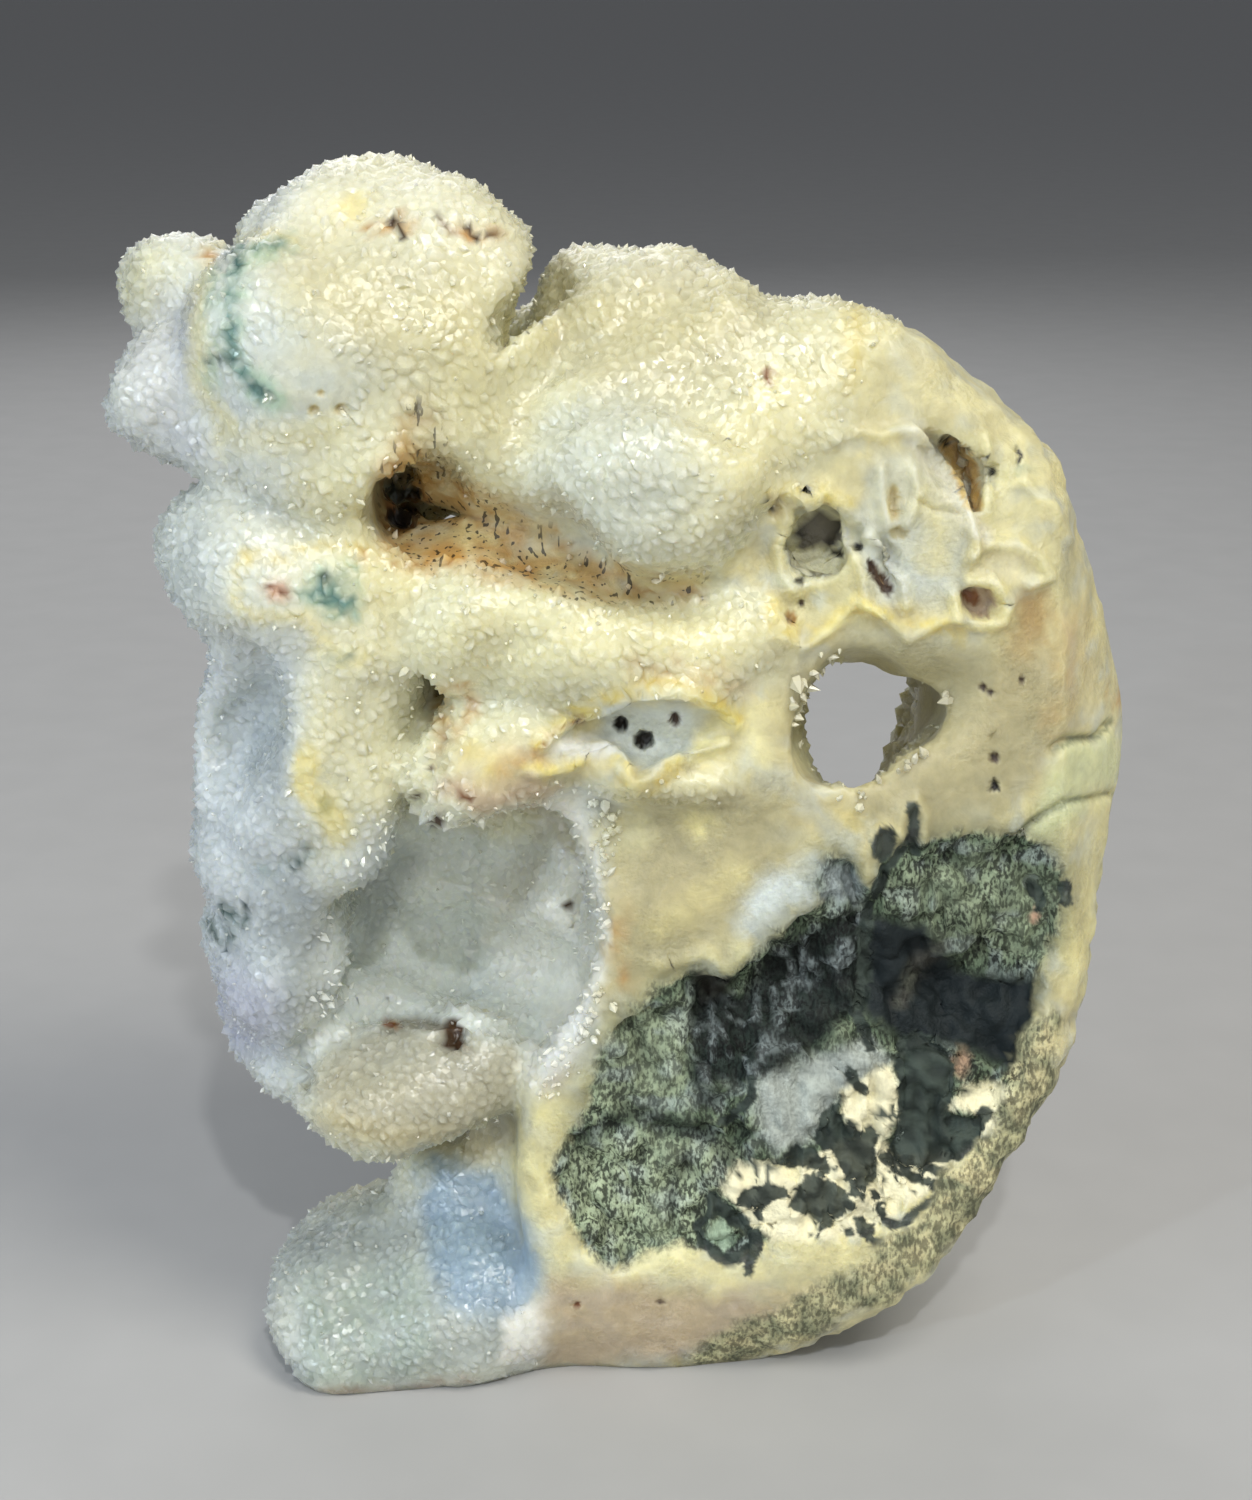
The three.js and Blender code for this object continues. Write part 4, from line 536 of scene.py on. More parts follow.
# Pits: depth in mm, colour, shape by place in the photo
PITS = {
    "eye_a": (1.4, "soot", ("spot", 621, 724, 7, 8)),
    "eye_b": (1.6, "soot", ("area", [(634, 738), (640, 730), (652, 732), (654, 745), (644, 750), (635, 746)])),
    "eye_c": (1.0, "umber", ("spot", 675, 719, 5, 7)),
    "nose_ring": (0.6, "rust", ("line", 2, [(457, 800), (464, 795), (472, 800)])),
    "crown_a": (0.7, "umber", ("spot", 394, 222, 6, 6)),
    "crown_b": (0.6, "umber", ("spot", 402, 238, 4, 3)),
    "crown_c": (0.7, "umber", ("spot", 470, 226, 6, 5)),
    "crown_d": (0.6, "umber", ("spot", 476, 237, 5, 3)),
    "chin_a": (0.6, "beige", ("spot", 314, 410, 6, 5)),
    "chin_b": (0.7, "beige", ("spot", 341, 409, 7, 5)),
    "chin_c": (0.5, "beige", ("spot", 321, 393, 4, 3)),
    "hole_a": (1.8, "soot", ("spot", 392, 490, 8, 9)),
    "hole_b": (1.8, "soot", ("spot", 412, 494, 9, 8)),
    "hole_c": (1.6, "soot", ("area", [(388, 508), (402, 504), (420, 510), (416, 526), (398, 530), (386, 520)])),
    "cheek_a": (0.5, "rust", ("spot", 272, 586, 5, 4)),
    "cheek_b": (0.5, "rust", ("spot", 282, 593, 5, 3)),
    "cavity_a": (1.0, "umber", ("spot", 437, 822, 6, 7)),
    "cavity_b": (0.8, "umber", ("spot", 428, 769, 4, 4)),
    "cavity_c": (0.7, "umber", ("spot", 417, 795, 4, 4)),
    "cavity_d": (0.7, "umber", ("spot", 569, 907, 4, 5)),
    "cavity_e": (1.0, "rust", ("spot", 391, 1025, 8, 5)),
    "cavity_f": (1.8, "umber", ("area", [(440, 1030), (452, 1019), (466, 1027), (462, 1050), (446, 1052)])),
    "shoulder_a": (0.7, "rust", ("spot", 768, 376, 4, 7)),
    "left_pit": (1.0, "beige", ("spot", 775, 506, 8, 13)),
    "left_pit_dark": (0.5, "soot", ("spot", 770, 504, 3, 5)),
    # the round pit's pale sugar colour is partly its own and partly painted light on its shaded inside
    "round_pit": (1.5, "sugar", ("area", [(807, 511), (824, 504), (840, 511), (846, 530), (846, 560), (838, 575),
                                          (829, 580), (802, 586), (789, 571), (783, 549), (793, 527)])),
    "round_dark": (0.7, "ash", ("area", [(798, 522), (810, 512), (838, 511), (843, 540), (824, 547), (799, 550)])),
    "round_a": (0.7, "soot", ("spot", 800, 536, 5, 5)),
    "round_b": (0.6, "soot", ("spot", 837, 525, 3, 9)),
    "round_c": (0.6, "soot", ("spot", 831, 543, 4, 4)),
    "round_d": (0.7, "soot", ("spot", 838, 554, 6, 4)),
    "round_e": (0.6, "soot", ("spot", 800, 581, 5, 3)),
    "slit": (0.5, "umber", ("area", [(866, 559), (873, 561), (894, 586), (890, 597), (882, 592), (869, 574)])),
    "slit_hole": (0.5, "soot", ("spot", 858, 547, 5, 5)),
    "shallow": (0.8, "beige", ("spot", 894, 503, 7, 18)),
    "shallow_low": (0.4, "khaki", ("spot", 898, 533, 10, 7)),
    "deep": (2.0, "honey", ("area", [(938, 447), (949, 436), (969, 449), (979, 469), (981, 511), (968, 512),
                                     (960, 493), (952, 469)])),
    "deep_a": (0.9, "soot", ("spot", 944, 441, 5, 5)),
    "deep_b": (0.7, "soot", ("spot", 968, 451, 4, 3)),
    "dot": (0.9, "soot", ("spot", 992, 472, 4, 4)),
    "crescent": (0.6, "soot", ("line", 2, [(1017, 449), (1021, 455), (1018, 463)])),
    "ring": (1.4, "rose", ("area", [(960, 592), (972, 586), (990, 589), (996, 604), (988, 617), (974, 617),
                                    (962, 604)])),
    "ring_rust": (0.7, "rust", ("area", [(960, 592), (974, 587), (980, 599), (976, 607), (966, 602)])),
    "low_left_a": (0.5, "umber", ("spot", 801, 603, 3, 4)),
    "low_left_b": (0.8, "tan", ("spot", 791, 618, 6, 7)),
    "speck_a": (0.5, "umber", ("spot", 983, 687, 3, 4)),
    "speck_b": (0.5, "umber", ("spot", 990, 692, 4, 3)),
    "speck_c": (0.4, "umber", ("spot", 1022, 680, 3, 3)),
    "speck_d": (0.7, "umber", ("spot", 995, 758, 5, 5)),
    "speck_e": (0.8, "soot", ("area", [(990, 786), (994, 778), (999, 782), (1000, 791), (990, 792)])),
    "speck_f": (0.3, "umber", ("spot", 891, 683, 3, 2)),
    "band_a": (0.4, "rust", ("spot", 577, 1305, 4, 4)),
    "band_b": (0.4, "umber", ("spot", 660, 1302, 4, 3)),
}

# The mottled rind along the lower right edge
RIND = ("area", [(1018, 1033), (1062, 1010), (1056, 1096), (1042, 1121), (1030, 1151), (1005, 1189), (975, 1223),
                 (937, 1261), (893, 1290), (842, 1322), (780, 1348), (720, 1372), (660, 1380), (690, 1350),
                 (760, 1316), (819, 1286), (866, 1256), (908, 1231), (933, 1193), (954, 1168), (992, 1134),
                 (1005, 1096)])

# Where cream veins and dark green islands lie side by side in the recess
VEINS = ("area", [(722, 1190), (745, 1165), (800, 1155), (830, 1100), (893, 1062), (905, 1110), (893, 1150),
                  (960, 1165), (985, 1140), (975, 1112), (945, 1100), (965, 1080), (1008, 1087), (1030, 1100),
                  (985, 1175), (925, 1225), (860, 1252), (790, 1256), (752, 1225)])

# Lights: place and size in metres, power, colour
LIGHTS = {
    "key": ((0.26, -0.26, 0.62), 0.28, 2.45, (1.0, 0.96, 0.86)),
    "fill": ((-0.65, -0.35, 0.30), 0.5, 1.7, (0.80, 0.89, 1.0)),
    "front": ((0.02, -0.85, 0.28), 0.6, 2.1, (1.0, 0.98, 0.94)),
    "rim": ((-0.1, 0.55, 0.45), 0.4, 1.2, (1.0, 1.0, 1.0)),
    "spark": ((0.05, -0.50, 0.55), 0.02, 1.3, (1.0, 1.0, 1.0)),
    "blue_spark": ((-0.35, -0.45, 0.30), 0.02, 0.6, (0.75, 0.88, 1.0)),
}
LIGHTS_AIM = (0, 0, 0.055)
FLOOR_HALF = 12.0


def rgb(name):
    """Linear colour of a palette name."""
    code = COLOURS[name].lstrip("#")
    parts = np.array([int(code[i:i + 2], 16) for i in (0, 2, 4)]) / 255
    return np.where(parts <= 0.04045, parts / 12.92, ((parts + 0.055) / 1.055) ** 2.4)


def clamp01(value):
    return np.clip(value, 0, 1)


def smoothstep(low, high, value):
    share = clamp01((value - low) / (high - low))
    return share * share * (3 - 2 * share)


def smooth_min(a, b, blend):
    near = np.maximum(blend - np.abs(a - b), 0) / blend
    return np.minimum(a, b) - near * near * blend * 0.25


def closed_curve(points):
    """A smooth closed outline through its corners, three points for each corner."""
    corners = np.array(points, float)
    share = np.arange(3)[:, None] / 3
    rim = []
    for i in range(len(corners)):
        a, b, c, d = (corners[(i + step) % len(corners)] for step in (-1, 0, 1, 2))
        rim.append(0.5 * (2 * b + (c - a) * share + (2 * a - 5 * b + 4 * c - d) * share ** 2
                          + (3 * b - a - 3 * c + d) * share ** 3))
    return np.concatenate(rim)


def polygon_distance(x, z, rim):
    """Signed distance to a closed polygon, negative inside."""
    nearest = np.full(x.shape, 1e9)
    inside = np.zeros(x.shape, bool)
    for (ax, az), (bx, bz) in zip(np.roll(rim, 1, axis=0), rim):
        ex, ez = bx - ax, bz - az
        along = clamp01(((x - ax) * ex + (z - az) * ez) / (ex * ex + ez * ez))
        nearest = np.minimum(nearest, (x - ax - ex * along) ** 2 + (z - az - ez * along) ** 2)
        inside ^= ((az > z) != (bz > z)) & (x < ex * (z - az) / (ez + 1e-12) + ax)
    return np.where(inside, -1, 1) * np.sqrt(nearest)


class Outline:
    """Distance across X and Z to a closed smooth curve, worked out once on a plane grid."""

    STEP = 0.5
    LOW = (-70.0, -20.0)
    COUNT = (280, 310)

    def __init__(self, points):
        x, z = np.meshgrid(*(low + self.STEP * np.arange(n) for low, n in zip(self.LOW, self.COUNT)), indexing="ij")
        self.grid = polygon_distance(x, z, closed_curve(points)).astype(np.float32)

    def __call__(self, x, z):
        u = np.clip((x - self.LOW[0]) / self.STEP, 0, self.COUNT[0] - 1.01)
        v = np.clip((z - self.LOW[1]) / self.STEP, 0, self.COUNT[1] - 1.01)
        i, j = u.astype(int), v.astype(int)
        fu, fv = u - i, v - j
        g = self.grid
        near, far = (g[i, k] * (1 - fu) + g[i + 1, k] * fu for k in (j, j + 1))
        return near * (1 - fv) + far * fv


body_side = Outline(BODY_OUTLINE)
recess_side = Outline(RECESS_OUTLINE)


def relief(x, z, swellings):
    """Sum of soft swellings across the face."""
    total = 0
    for (cx, cz), (hx, hz), rise in swellings.values():
        total = total + rise * np.exp(-((x - cx) / hx) ** 2 - ((z - cz) / hz) ** 2)
    return total


def recess_inside(x, z):
    """1 on the floor of the green recess and 0 on the waxy face, over a ragged lip."""
    ragged = 0.4 * np.sin(1.9 * x + 0.7 * z) + 0.3 * np.sin(2.3 * z - 1.1 * x + 1) + 0.4
    return smoothstep(0, RECESS_LIP, ragged - recess_side(x, z))


def body_distance(x, y, z):
    """Distance to the waxy body: its face leans back, falls away at the top, the right and the foot, and steps down
    near the right edge."""
    face = FRONT + 0.03 * (z - 20) + 0.006 * np.maximum(z - 84, 0) ** 2 + 0.004 * np.maximum(x - 12, 0) ** 2
    face = face + 0.02 * np.maximum(14 - z, 0) ** 2 + 1.1 * np.maximum(x - 41.5 + 0.1 * (z - 60), 0)
    face = face - relief(x, z, FACE_RELIEF)
    front = face + recess_inside(x, z) * (RECESS_FLOOR + relief(x, z, RECESS_BAYS)) - y
    back = y - (BACK - 0.006 * (x - 8) ** 2 - 0.002 * (z - 50) ** 2)
    side = -smooth_min(-body_side(x, z), -front, EDGE_ROUND)
    return -smooth_min(-side, -back, BACK_ROUND)


def waver(x, y, z):
    """A slow shift, so that no lump stays a perfect ellipsoid."""
    return (0.9 * np.sin(0.21 * y + 0.17 * z + 1) + 0.3 * np.sin(0.43 * z - 0.31 * y + 0.5),
            1.0 * np.sin(0.19 * x + 0.16 * z + 2) + 0.3 * np.sin(0.41 * x - 0.37 * z),
            0.9 * np.sin(0.22 * x + 0.18 * y + 4) + 0.3 * np.sin(0.45 * x - 0.29 * y + 1.7))


def ellipsoid(x, y, z, at, half, turn, pitch=0):
    """Near-true distance to an ellipsoid that is turned about Y and then pitched about X."""
    x, y, z = x - at[0], y - at[1], z - at[2]
    if turn:
        c, s = math.cos(math.radians(turn)), math.sin(math.radians(turn))
        x, z = x * c + z * s, z * c - x * s
    if pitch:
        c, s = math.cos(math.radians(pitch)), math.sin(math.radians(pitch))
        y, z = y * c + z * s, z * c - y * s
    x, y, z = x / half[0], y / half[1], z / half[2]
    unit = np.sqrt(x * x + y * y + z * z)
    x, y, z = x / half[0], y / half[1], z / half[2]
    return unit * (unit - 1) / (np.sqrt(x * x + y * y + z * z) + 1e-9)


def within_reach(x, y, z, at, half):
    """Rows of points whose middle one is near enough to a blob to feel it."""
    reach = max(half) + LUMP_REACH
    middle = x.shape[1] // 2
    return ((np.abs(x[:, middle] - at[0]) < reach) & (np.abs(y[:, middle] - at[1]) < reach)
            & (np.abs(z[:, middle] - at[2]) < reach))


def near_blobs(x, y, z, table):
    """For each lump or hollow of a table: the rows of points near it, their distance to it, its softness."""
    for at, half, blend, *turns in table.values():
        rows = within_reach(x, y, z, at, half)
        yield rows, ellipsoid(x[rows], y[rows], z[rows], at, half, *turns), blend


def layers(x, y, z):
    """Distances to the waxy body and to the sugary lumps, before the hollows; points in rows."""
    dx, dy, dz = waver(x, y, z)
    body = body_distance(x + BODY_WAVER * dx, y + BODY_WAVER * dy, z + BODY_WAVER * dz)
    druse = np.full(x.shape, FAR, np.float32)
    for rows, blob, blend in near_blobs(x + dx, y + dy, z + dz, LUMPS):
        druse[rows] = smooth_min(druse[rows], blob, blend)
    return body, druse


def stone_distance(x, y, z):
    """Distance to the whole stone without its finest relief, negative inside; points in rows."""
    body, druse = layers(x, y, z)
    distance = smooth_min(body, druse, LUMP_JOIN)
    dx, dy, dz = waver(x, y, z)
    px, py, pz = x + dx, y + dy, z + dz
    for rows, blob, blend in near_blobs(px, py, pz, HOLLOWS):
        distance[rows] = -smooth_min(-distance[rows], blob, blend)
    for rows, blob, blend in near_blobs(px, py, pz, OVERHANGS):
        distance[rows] = smooth_min(distance[rows], blob, blend)
    return np.maximum(distance, -z)


def chance(i, j, k, draw):
    """A fixed chance from 0 to 1 for each lattice cell."""
    wild = np.sin(127.1 * i + 311.7 * j + 74.7 * k + 53.3 * draw) * 43758.5453
    return wild - np.floor(wild)


def cobbles(points, size):
    """Rounded cobbles, one in each cell of a jittered lattice: 1 on top, 0 in the creases."""
    x, y, z = points.T / size
    i, j, k = np.floor(x), np.floor(y), np.floor(z)
    nearest = np.ones(x.shape)
    for cell in range(27):
        ci, cj, ck = i - 1 + cell % 3, j - 1 + cell // 3 % 3, k - 1 + cell // 9
        apart = ((x - ci - chance(ci, cj, ck, 0)) ** 2 + (y - cj - chance(ci, cj, ck, 1)) ** 2
                 + (z - ck - chance(ci, cj, ck, 2)) ** 2)
        nearest = np.minimum(nearest, apart)
    return 1 - nearest


def noise(points, size, draw):
    """Smooth noise from 0 to 1."""
    p = points / size
    base = np.floor(p)
    f = p - base
    f = f * f * (3 - 2 * f)
    total = 0
    for corner in range(8):
        step = np.array([corner & 1, corner >> 1 & 1, corner >> 2])
        weight = np.prod(np.where(step, f, 1 - f), axis=1)
        total = total + weight * chance(*(base + step).T, draw)
    return total


def ridges(points):
    """Upright ridges, 1 on their crests."""
    return 1 - np.abs(2 * noise(points * (1, 1, 0.5), 1.5, 44) - 1)


def sample_grid():
    """The stone's distance on a grid, worked out only in blocks near the surface."""
    low = np.array(GRID_LOW)
    blocks = np.ceil((np.array(GRID_HIGH) - low) / (CELL * BLOCK)).astype(int)
    values = np.full(blocks * BLOCK + 1, FAR, np.float32)
    cells = np.argwhere(np.ones(blocks))
    middles = (low + (cells + 0.5) * CELL * BLOCK).astype(np.float32)
    rough = stone_distance(*(middles[:, axis:axis + 1] for axis in range(3)))[:, 0]
    near = np.abs(rough) < CELL * BLOCK * 1.25
    for i, j, k in cells[~near & (rough < 0)] * BLOCK:
        values[i:i + BLOCK + 1, j:j + BLOCK + 1, k:k + BLOCK + 1] = -FAR
    offsets = np.argwhere(np.ones((BLOCK + 1,) * 3))
    nodes = cells[near][:, None, :] * BLOCK + offsets[None]
    for part in np.array_split(nodes, max(1, len(nodes) // 500)):
        x, y, z = ((low[axis] + part[..., axis] * CELL).astype(np.float32) for axis in range(3))
        values[part[..., 0], part[..., 1], part[..., 2]] = stone_distance(x, y, z)
    return low, values


def surface_net(low, values):
    """The zero surface as quads, one point in each cell that it crosses."""
    inside = values < 0
    corners = [(i, j, k) for i in (0, 1) for j in (0, 1) for k in (0, 1)]
    ni, nj, nk = (size - 1 for size in inside.shape)
    count = sum(inside[i:ni + i, j:nj + j, k:nk + k].astype(np.int8) for i, j, k in corners)
    active = (count > 0) & (count < 8)
    cells = np.argwhere(active)
    names = np.full(active.shape, -1, np.int64)
    names[active] = np.arange(len(cells))
    at = {c: values[cells[:, 0] + c[0], cells[:, 1] + c[1], cells[:, 2] + c[2]] for c in corners}
    total = np.zeros((len(cells), 3))
    crossings = np.zeros(len(cells))
    for start in corners:
        for axis in range(3):
            if start[axis]:
                continue
            end = tuple(1 if a == axis else start[a] for a in range(3))
            crosses = (at[start] < 0) != (at[end] < 0)
            share = np.where(crosses, at[start] / np.where(crosses, at[start] - at[end], 1), 0)
            point = np.array(start, float) + share[:, None] * (np.array(end) - np.array(start))
            total += point * crosses[:, None]
            crossings += crosses
    points = low + (cells + total / crossings[:, None]) * CELL
    quads = []
    for axis in range(3):
        u, w = (axis + 1) % 3, (axis + 2) % 3
        first = [slice(1, -1)] * 3
        second = [slice(1, -1)] * 3
        first[axis] = slice(0, -1)
        second[axis] = slice(1, None)
        change = inside[tuple(first)] != inside[tuple(second)]
        nodes = np.argwhere(change)
        nodes[:, u] += 1
        nodes[:, w] += 1
        ring = []
        for du, dw in ((0, 0), (-1, 0), (-1, -1), (0, -1)):
            cell = nodes.copy()
            cell[:, u] += du
            cell[:, w] += dw
            ring.append(names[cell[:, 0], cell[:, 1], cell[:, 2]])
        ring = np.stack(ring, 1)
        outward = inside[tuple(first)][change]
        ring[~outward] = ring[~outward][:, ::-1]
        quads.append(ring)
    return points, np.concatenate(quads)


def vertex_normals(points, triangles):
    """Unit normals, weighted by the faces' areas."""
    a, b, c = (points[triangles[:, i]] for i in range(3))
    face = np.cross(b - a, c - a)
    normals = np.zeros_like(points)
    for i in range(3):
        for axis in range(3):
            normals[:, axis] += np.bincount(triangles[:, i], face[:, axis], len(points))
    return normals / (np.linalg.norm(normals, axis=1)[:, None] + 1e-12)


def as_rows(points):
    """X, Y and Z as columns, one point in each row."""
    return [points[:, axis:axis + 1].astype(np.float32) for axis in range(3)]


def sugar_share(points):
    """1 on sugary druse and 0 on waxy chalcedony."""
    body, druse = layers(*as_rows(points))
    ragged = 0.5 * (noise(points, 1.3, 3) - 0.5) + 0.5 * (noise(points, 4.0, 4) - 0.5)
    share = np.clip((body - druse)[:, 0] / SUGAR_FADE + 0.5 + ragged, -0.3, 1.3)
    px, py = to_photo(points)
    on_front = points[:, 1] < -2
    for change, soft, shape in SUGAR_PATCHES.values():
        share += change * on_front * smoothstep(soft, -soft, shape_distance(px, py, shape))
    return clamp01(share)


def front_half(y):
    """1 on the front half of the stone and 0 behind."""
    return clamp01((-4 - y) / 3)


def recess_share(points):
    """1 on the green recess's floor."""
    x, y, z = points.T
    return recess_inside(x, z) * front_half(y) * (1 - sugar_share(points))


def to_photo(points):
    """Where each point shows in the photo, in pixels across and down."""
    from_camera = points - CAMERA_PLACE
    focal = LENS / SENSOR * PHOTO_HEIGHT
    depth = from_camera @ VIEW
    return PHOTO_WIDTH / 2 + focal * from_camera[:, 0] / depth, PHOTO_HEIGHT / 2 - focal * (from_camera @ UP) / depth


def facing_photo(points, normals):
    """How far each point faces the photo's side: 1 straight at it, below 0 turned away."""
    to_camera = CAMERA_PLACE - points
    to_camera /= np.linalg.norm(to_camera, axis=1)[:, None]
    return (normals * to_camera).sum(1)


def mesh_object(name, points, triangles, flat):
    """A Blender mesh from points in millimetres of the form's own frame."""
    mesh = bpy.data.meshes.new(name)
    mesh.vertices.add(len(points))
    mesh.vertices.foreach_set("co", ((points - CENTRE) * MM).astype(np.float32).ravel())
    mesh.loops.add(triangles.size)
    mesh.loops.foreach_set("vertex_index", triangles.astype(np.int32).ravel())
    mesh.polygons.add(len(triangles))
    mesh.polygons.foreach_set("loop_start", (np.arange(len(triangles)) * 3).astype(np.int32))
    mesh.polygons.foreach_set("use_smooth", ~flat)
    mesh.update(calc_edges=True)
    piece = bpy.data.objects.new(name, mesh)
    bpy.context.scene.collection.objects.link(piece)
    return piece


def mesh_arrays(mesh):
    """Points in millimetres of the form's own frame, and triangles."""
    points = np.empty(len(mesh.vertices) * 3, np.float32)
    mesh.vertices.foreach_get("co", points)
    mesh.calc_loop_triangles()
    triangles = np.empty(len(mesh.loop_triangles) * 3, np.int32)
    mesh.loop_triangles.foreach_get("vertices", triangles)
    return points.reshape(-1, 3).astype(float) / MM + CENTRE, triangles.reshape(-1, 3)


def thin_out(points, triangles, edge_length, wanted):
    """Collapses edges until few enough triangles are left, with the wanted edge length at each point."""
    piece = mesh_object("thinning", points, triangles, np.zeros(len(triangles), bool))
    group = piece.vertex_groups.new(name="weight")
    weight = 1 - edge_length.min() / edge_length
    steps = np.round(weight, 2)
    for value in np.unique(steps):
        group.add(np.flatnonzero(steps == value).tolist(), float(value), "REPLACE")
    collapse = piece.modifiers.new("collapse", "DECIMATE")
    collapse.ratio = wanted / len(triangles)
    collapse.vertex_group = "weight"
    collapse.vertex_group_factor = 1000
    shown = piece.evaluated_get(bpy.context.evaluated_depsgraph_get())
    result = mesh_arrays(shown.to_mesh())
    bpy.data.objects.remove(piece, do_unlink=True)
    return result


def refine(points, triangles, chosen):
    """Halves every edge of the chosen triangles, without cracks next to the others."""
    edges = np.sort(np.stack([triangles, np.roll(triangles, -1, axis=1)], -1).reshape(-1, 2), axis=1)
    keys, names = np.unique(edges[:, 0].astype(np.int64) * len(points) + edges[:, 1], return_inverse=True)
    names = names.reshape(-1, 3)
    split = np.zeros(len(keys), bool)
    split[names[chosen].ravel()] = True
    place = np.full(len(keys), -1)
    place[split] = len(points) + np.arange(split.sum())
    ends = np.stack([keys[split] // len(points), keys[split] % len(points)], 1)
    new_points = np.concatenate([points, points[ends].mean(1)])
    result = []
    middles = place[names]
    marked = middles >= 0
    total = marked.sum(1)
    result.append(triangles[total == 0])
    for turn in range(3):
        a, b, c = (triangles[:, (turn + step) % 3] for step in range(3))
        ab, bc, ca = (middles[:, (turn + step) % 3] for step in range(3))
        one = (total == 1) & marked[:, turn]
        result += [np.stack(t, 1)[one] for t in ((a, ab, c), (ab, b, c))]
        two = (total == 2) & ~marked[:, turn]
        result += [np.stack(t, 1)[two] for t in ((a, b, bc), (a, bc, ca), (ca, bc, c))]
    full = total == 3
    a, b, c = triangles.T
    ab, bc, ca = middles.T
    result += [np.stack(t, 1)[full] for t in ((a, ab, ca), (ab, b, bc), (ca, bc, c), (ab, bc, ca))]
    return new_points, np.concatenate(result).astype(np.int64)


def grow_crystals(points, triangles, sugary, roll):
    """Turns the sugary triangles into crystal tips: each old point becomes a tip between new low points."""
    normals = vertex_normals(points, triangles)
    middles = points[triangles[sugary]].mean(1)
    low = np.full(len(triangles), -1)
    low[sugary] = len(points) + np.arange(sugary.sum())
    start = triangles.ravel()
    end = np.roll(triangles, -1, axis=1).ravel()
    owner = np.repeat(np.arange(len(triangles)), 3)
    size = np.int64(len(points))
    forward = start.astype(np.int64) * size + end
    backward = end.astype(np.int64) * size + start
    order = np.argsort(forward)
    slot = np.minimum(np.searchsorted(forward[order], backward), len(order) - 1)
    paired = forward[order[slot]] == backward
    other = np.where(paired, owner[order[slot]], -1)
    mine = low[owner]
    theirs = np.where(other >= 0, low[other], -1)
    shared = (mine >= 0) & (theirs >= 0)
    alone = (mine >= 0) & (theirs < 0)
    crystal = np.concatenate([np.stack([start, theirs, mine], 1)[shared], np.stack([start, end, mine], 1)[alone]])
    plain = triangles[~sugary]
    # how long the edges round each point are, and whether the point is sugary all round
    length = np.linalg.norm(points[start] - points[end], axis=1)
    spacing = np.bincount(start, length, len(points)) / np.maximum(np.bincount(start, minlength=len(points)), 1)
    touched = np.bincount(triangles[~sugary].ravel(), minlength=len(points)) > 0
    is_tip = np.zeros(len(points), bool)
    is_tip[triangles[sugary].ravel()] = True
    is_tip &= ~touched & (points[:, 2] > LOWEST_TIP)
    tall = roll.random(len(points)) < TALL_SHARE
    height = TIP_HEIGHT * spacing * (0.55 + 0.9 * roll.random(len(points))) * np.where(tall, TALL_RISE, 1)
    sideways = roll.normal(size=(len(points), 3)) * TIP_LEAN * spacing[:, None]
    raised = points + (normals * height[:, None] + sideways) * is_tip[:, None]
    middle_normals = normals[triangles[sugary]].mean(1)
    middles = middles - middle_normals * (CREASE_DROP * roll.random(len(middles)))[:, None]
    middles += roll.normal(size=middles.shape) * CREASE_STRAY
    all_points = np.concatenate([raised, middles])
    all_triangles = np.concatenate([plain, crystal])
    flat = np.arange(len(all_triangles)) >= len(plain)
    return all_points, all_triangles, flat, np.concatenate([normals, middle_normals])


def stroke_distance(x, y, line):
    """Distance to an open line."""
    nearest = np.full(x.shape, 1e9)
    for (ax, ay), (bx, by) in zip(line[:-1], line[1:]):
        ex, ey = bx - ax, by - ay
        along = clamp01(((x - ax) * ex + (y - ay) * ey) / (ex * ex + ey * ey))
        nearest = np.minimum(nearest, np.hypot(x - ax - ex * along, y - ay - ey * along))
    return nearest


def shape_distance(x, y, shape):
    """Pixels outside the edge of a named shape, negative inside."""
    kind = shape[0]
    if kind == "spot":
        _, cx, cy, rx, ry = shape
        unit = np.hypot((x - cx) / rx, (y - cy) / ry)
        return (unit - 1) * min(rx, ry)
    if kind == "line":
        return stroke_distance(x, y, shape[2]) - shape[1]
    return polygon_distance(x, y, np.array(shape[1], float))


def paint(tint, colour, mask):
    """Lays a palette colour over a tint."""
    return tint + (rgb(colour) - tint) * mask[:, None]


def strayed(points, place, *parts):
    """A photo coordinate that is pushed about by noise: pixels, size in mm and draw of each part."""
    for pixels, size, draw in parts:
        place = place + pixels * (noise(points, size, draw) - 0.5)
    return place


def waxy_ground(points):
    """Cloudy colour of the waxy face and the back, before its marks."""
    tint = np.tile(rgb("cream"), (len(points), 1))
    tint = paint(tint, "beige", 0.55 * smoothstep(0.35, 0.7, noise(points, 9, 16)))
    tint = paint(tint, "butter", 0.5 * smoothstep(0.55, 0.8, noise(points, 5, 25)))
    tint = paint(tint, "khaki", 0.5 * smoothstep(0.45, 0.7, noise(points, 2.4, 35)))
    return paint(tint, "mist", 0.5 * smoothstep(0.5, 0.75, noise(points, 1.6, 36)))


def sugary_ground(points, px, py):
    """Colour of the druse: warm at the upper right, cool at the left, the foot and the back."""
    left = smoothstep(60, -60, px - 300 + 80 * (noise(points, 14, 15) - 0.5))
    cool = clamp01(left + 0.5 * smoothstep(800, 1250, py))
    tint = np.tile(rgb("sugar"), (len(points), 1))
    tint = paint(tint, "frost", 0.85 * cool * (0.5 + 0.5 * noise(points, 6, 17)))
    tint = paint(tint, "butter", 0.35 * (1 - cool) * smoothstep(0.5, 0.85, noise(points, 7, 26)))
    return paint(tint, "frost", smoothstep(8, 18, points[:, 1]) * 0.4)


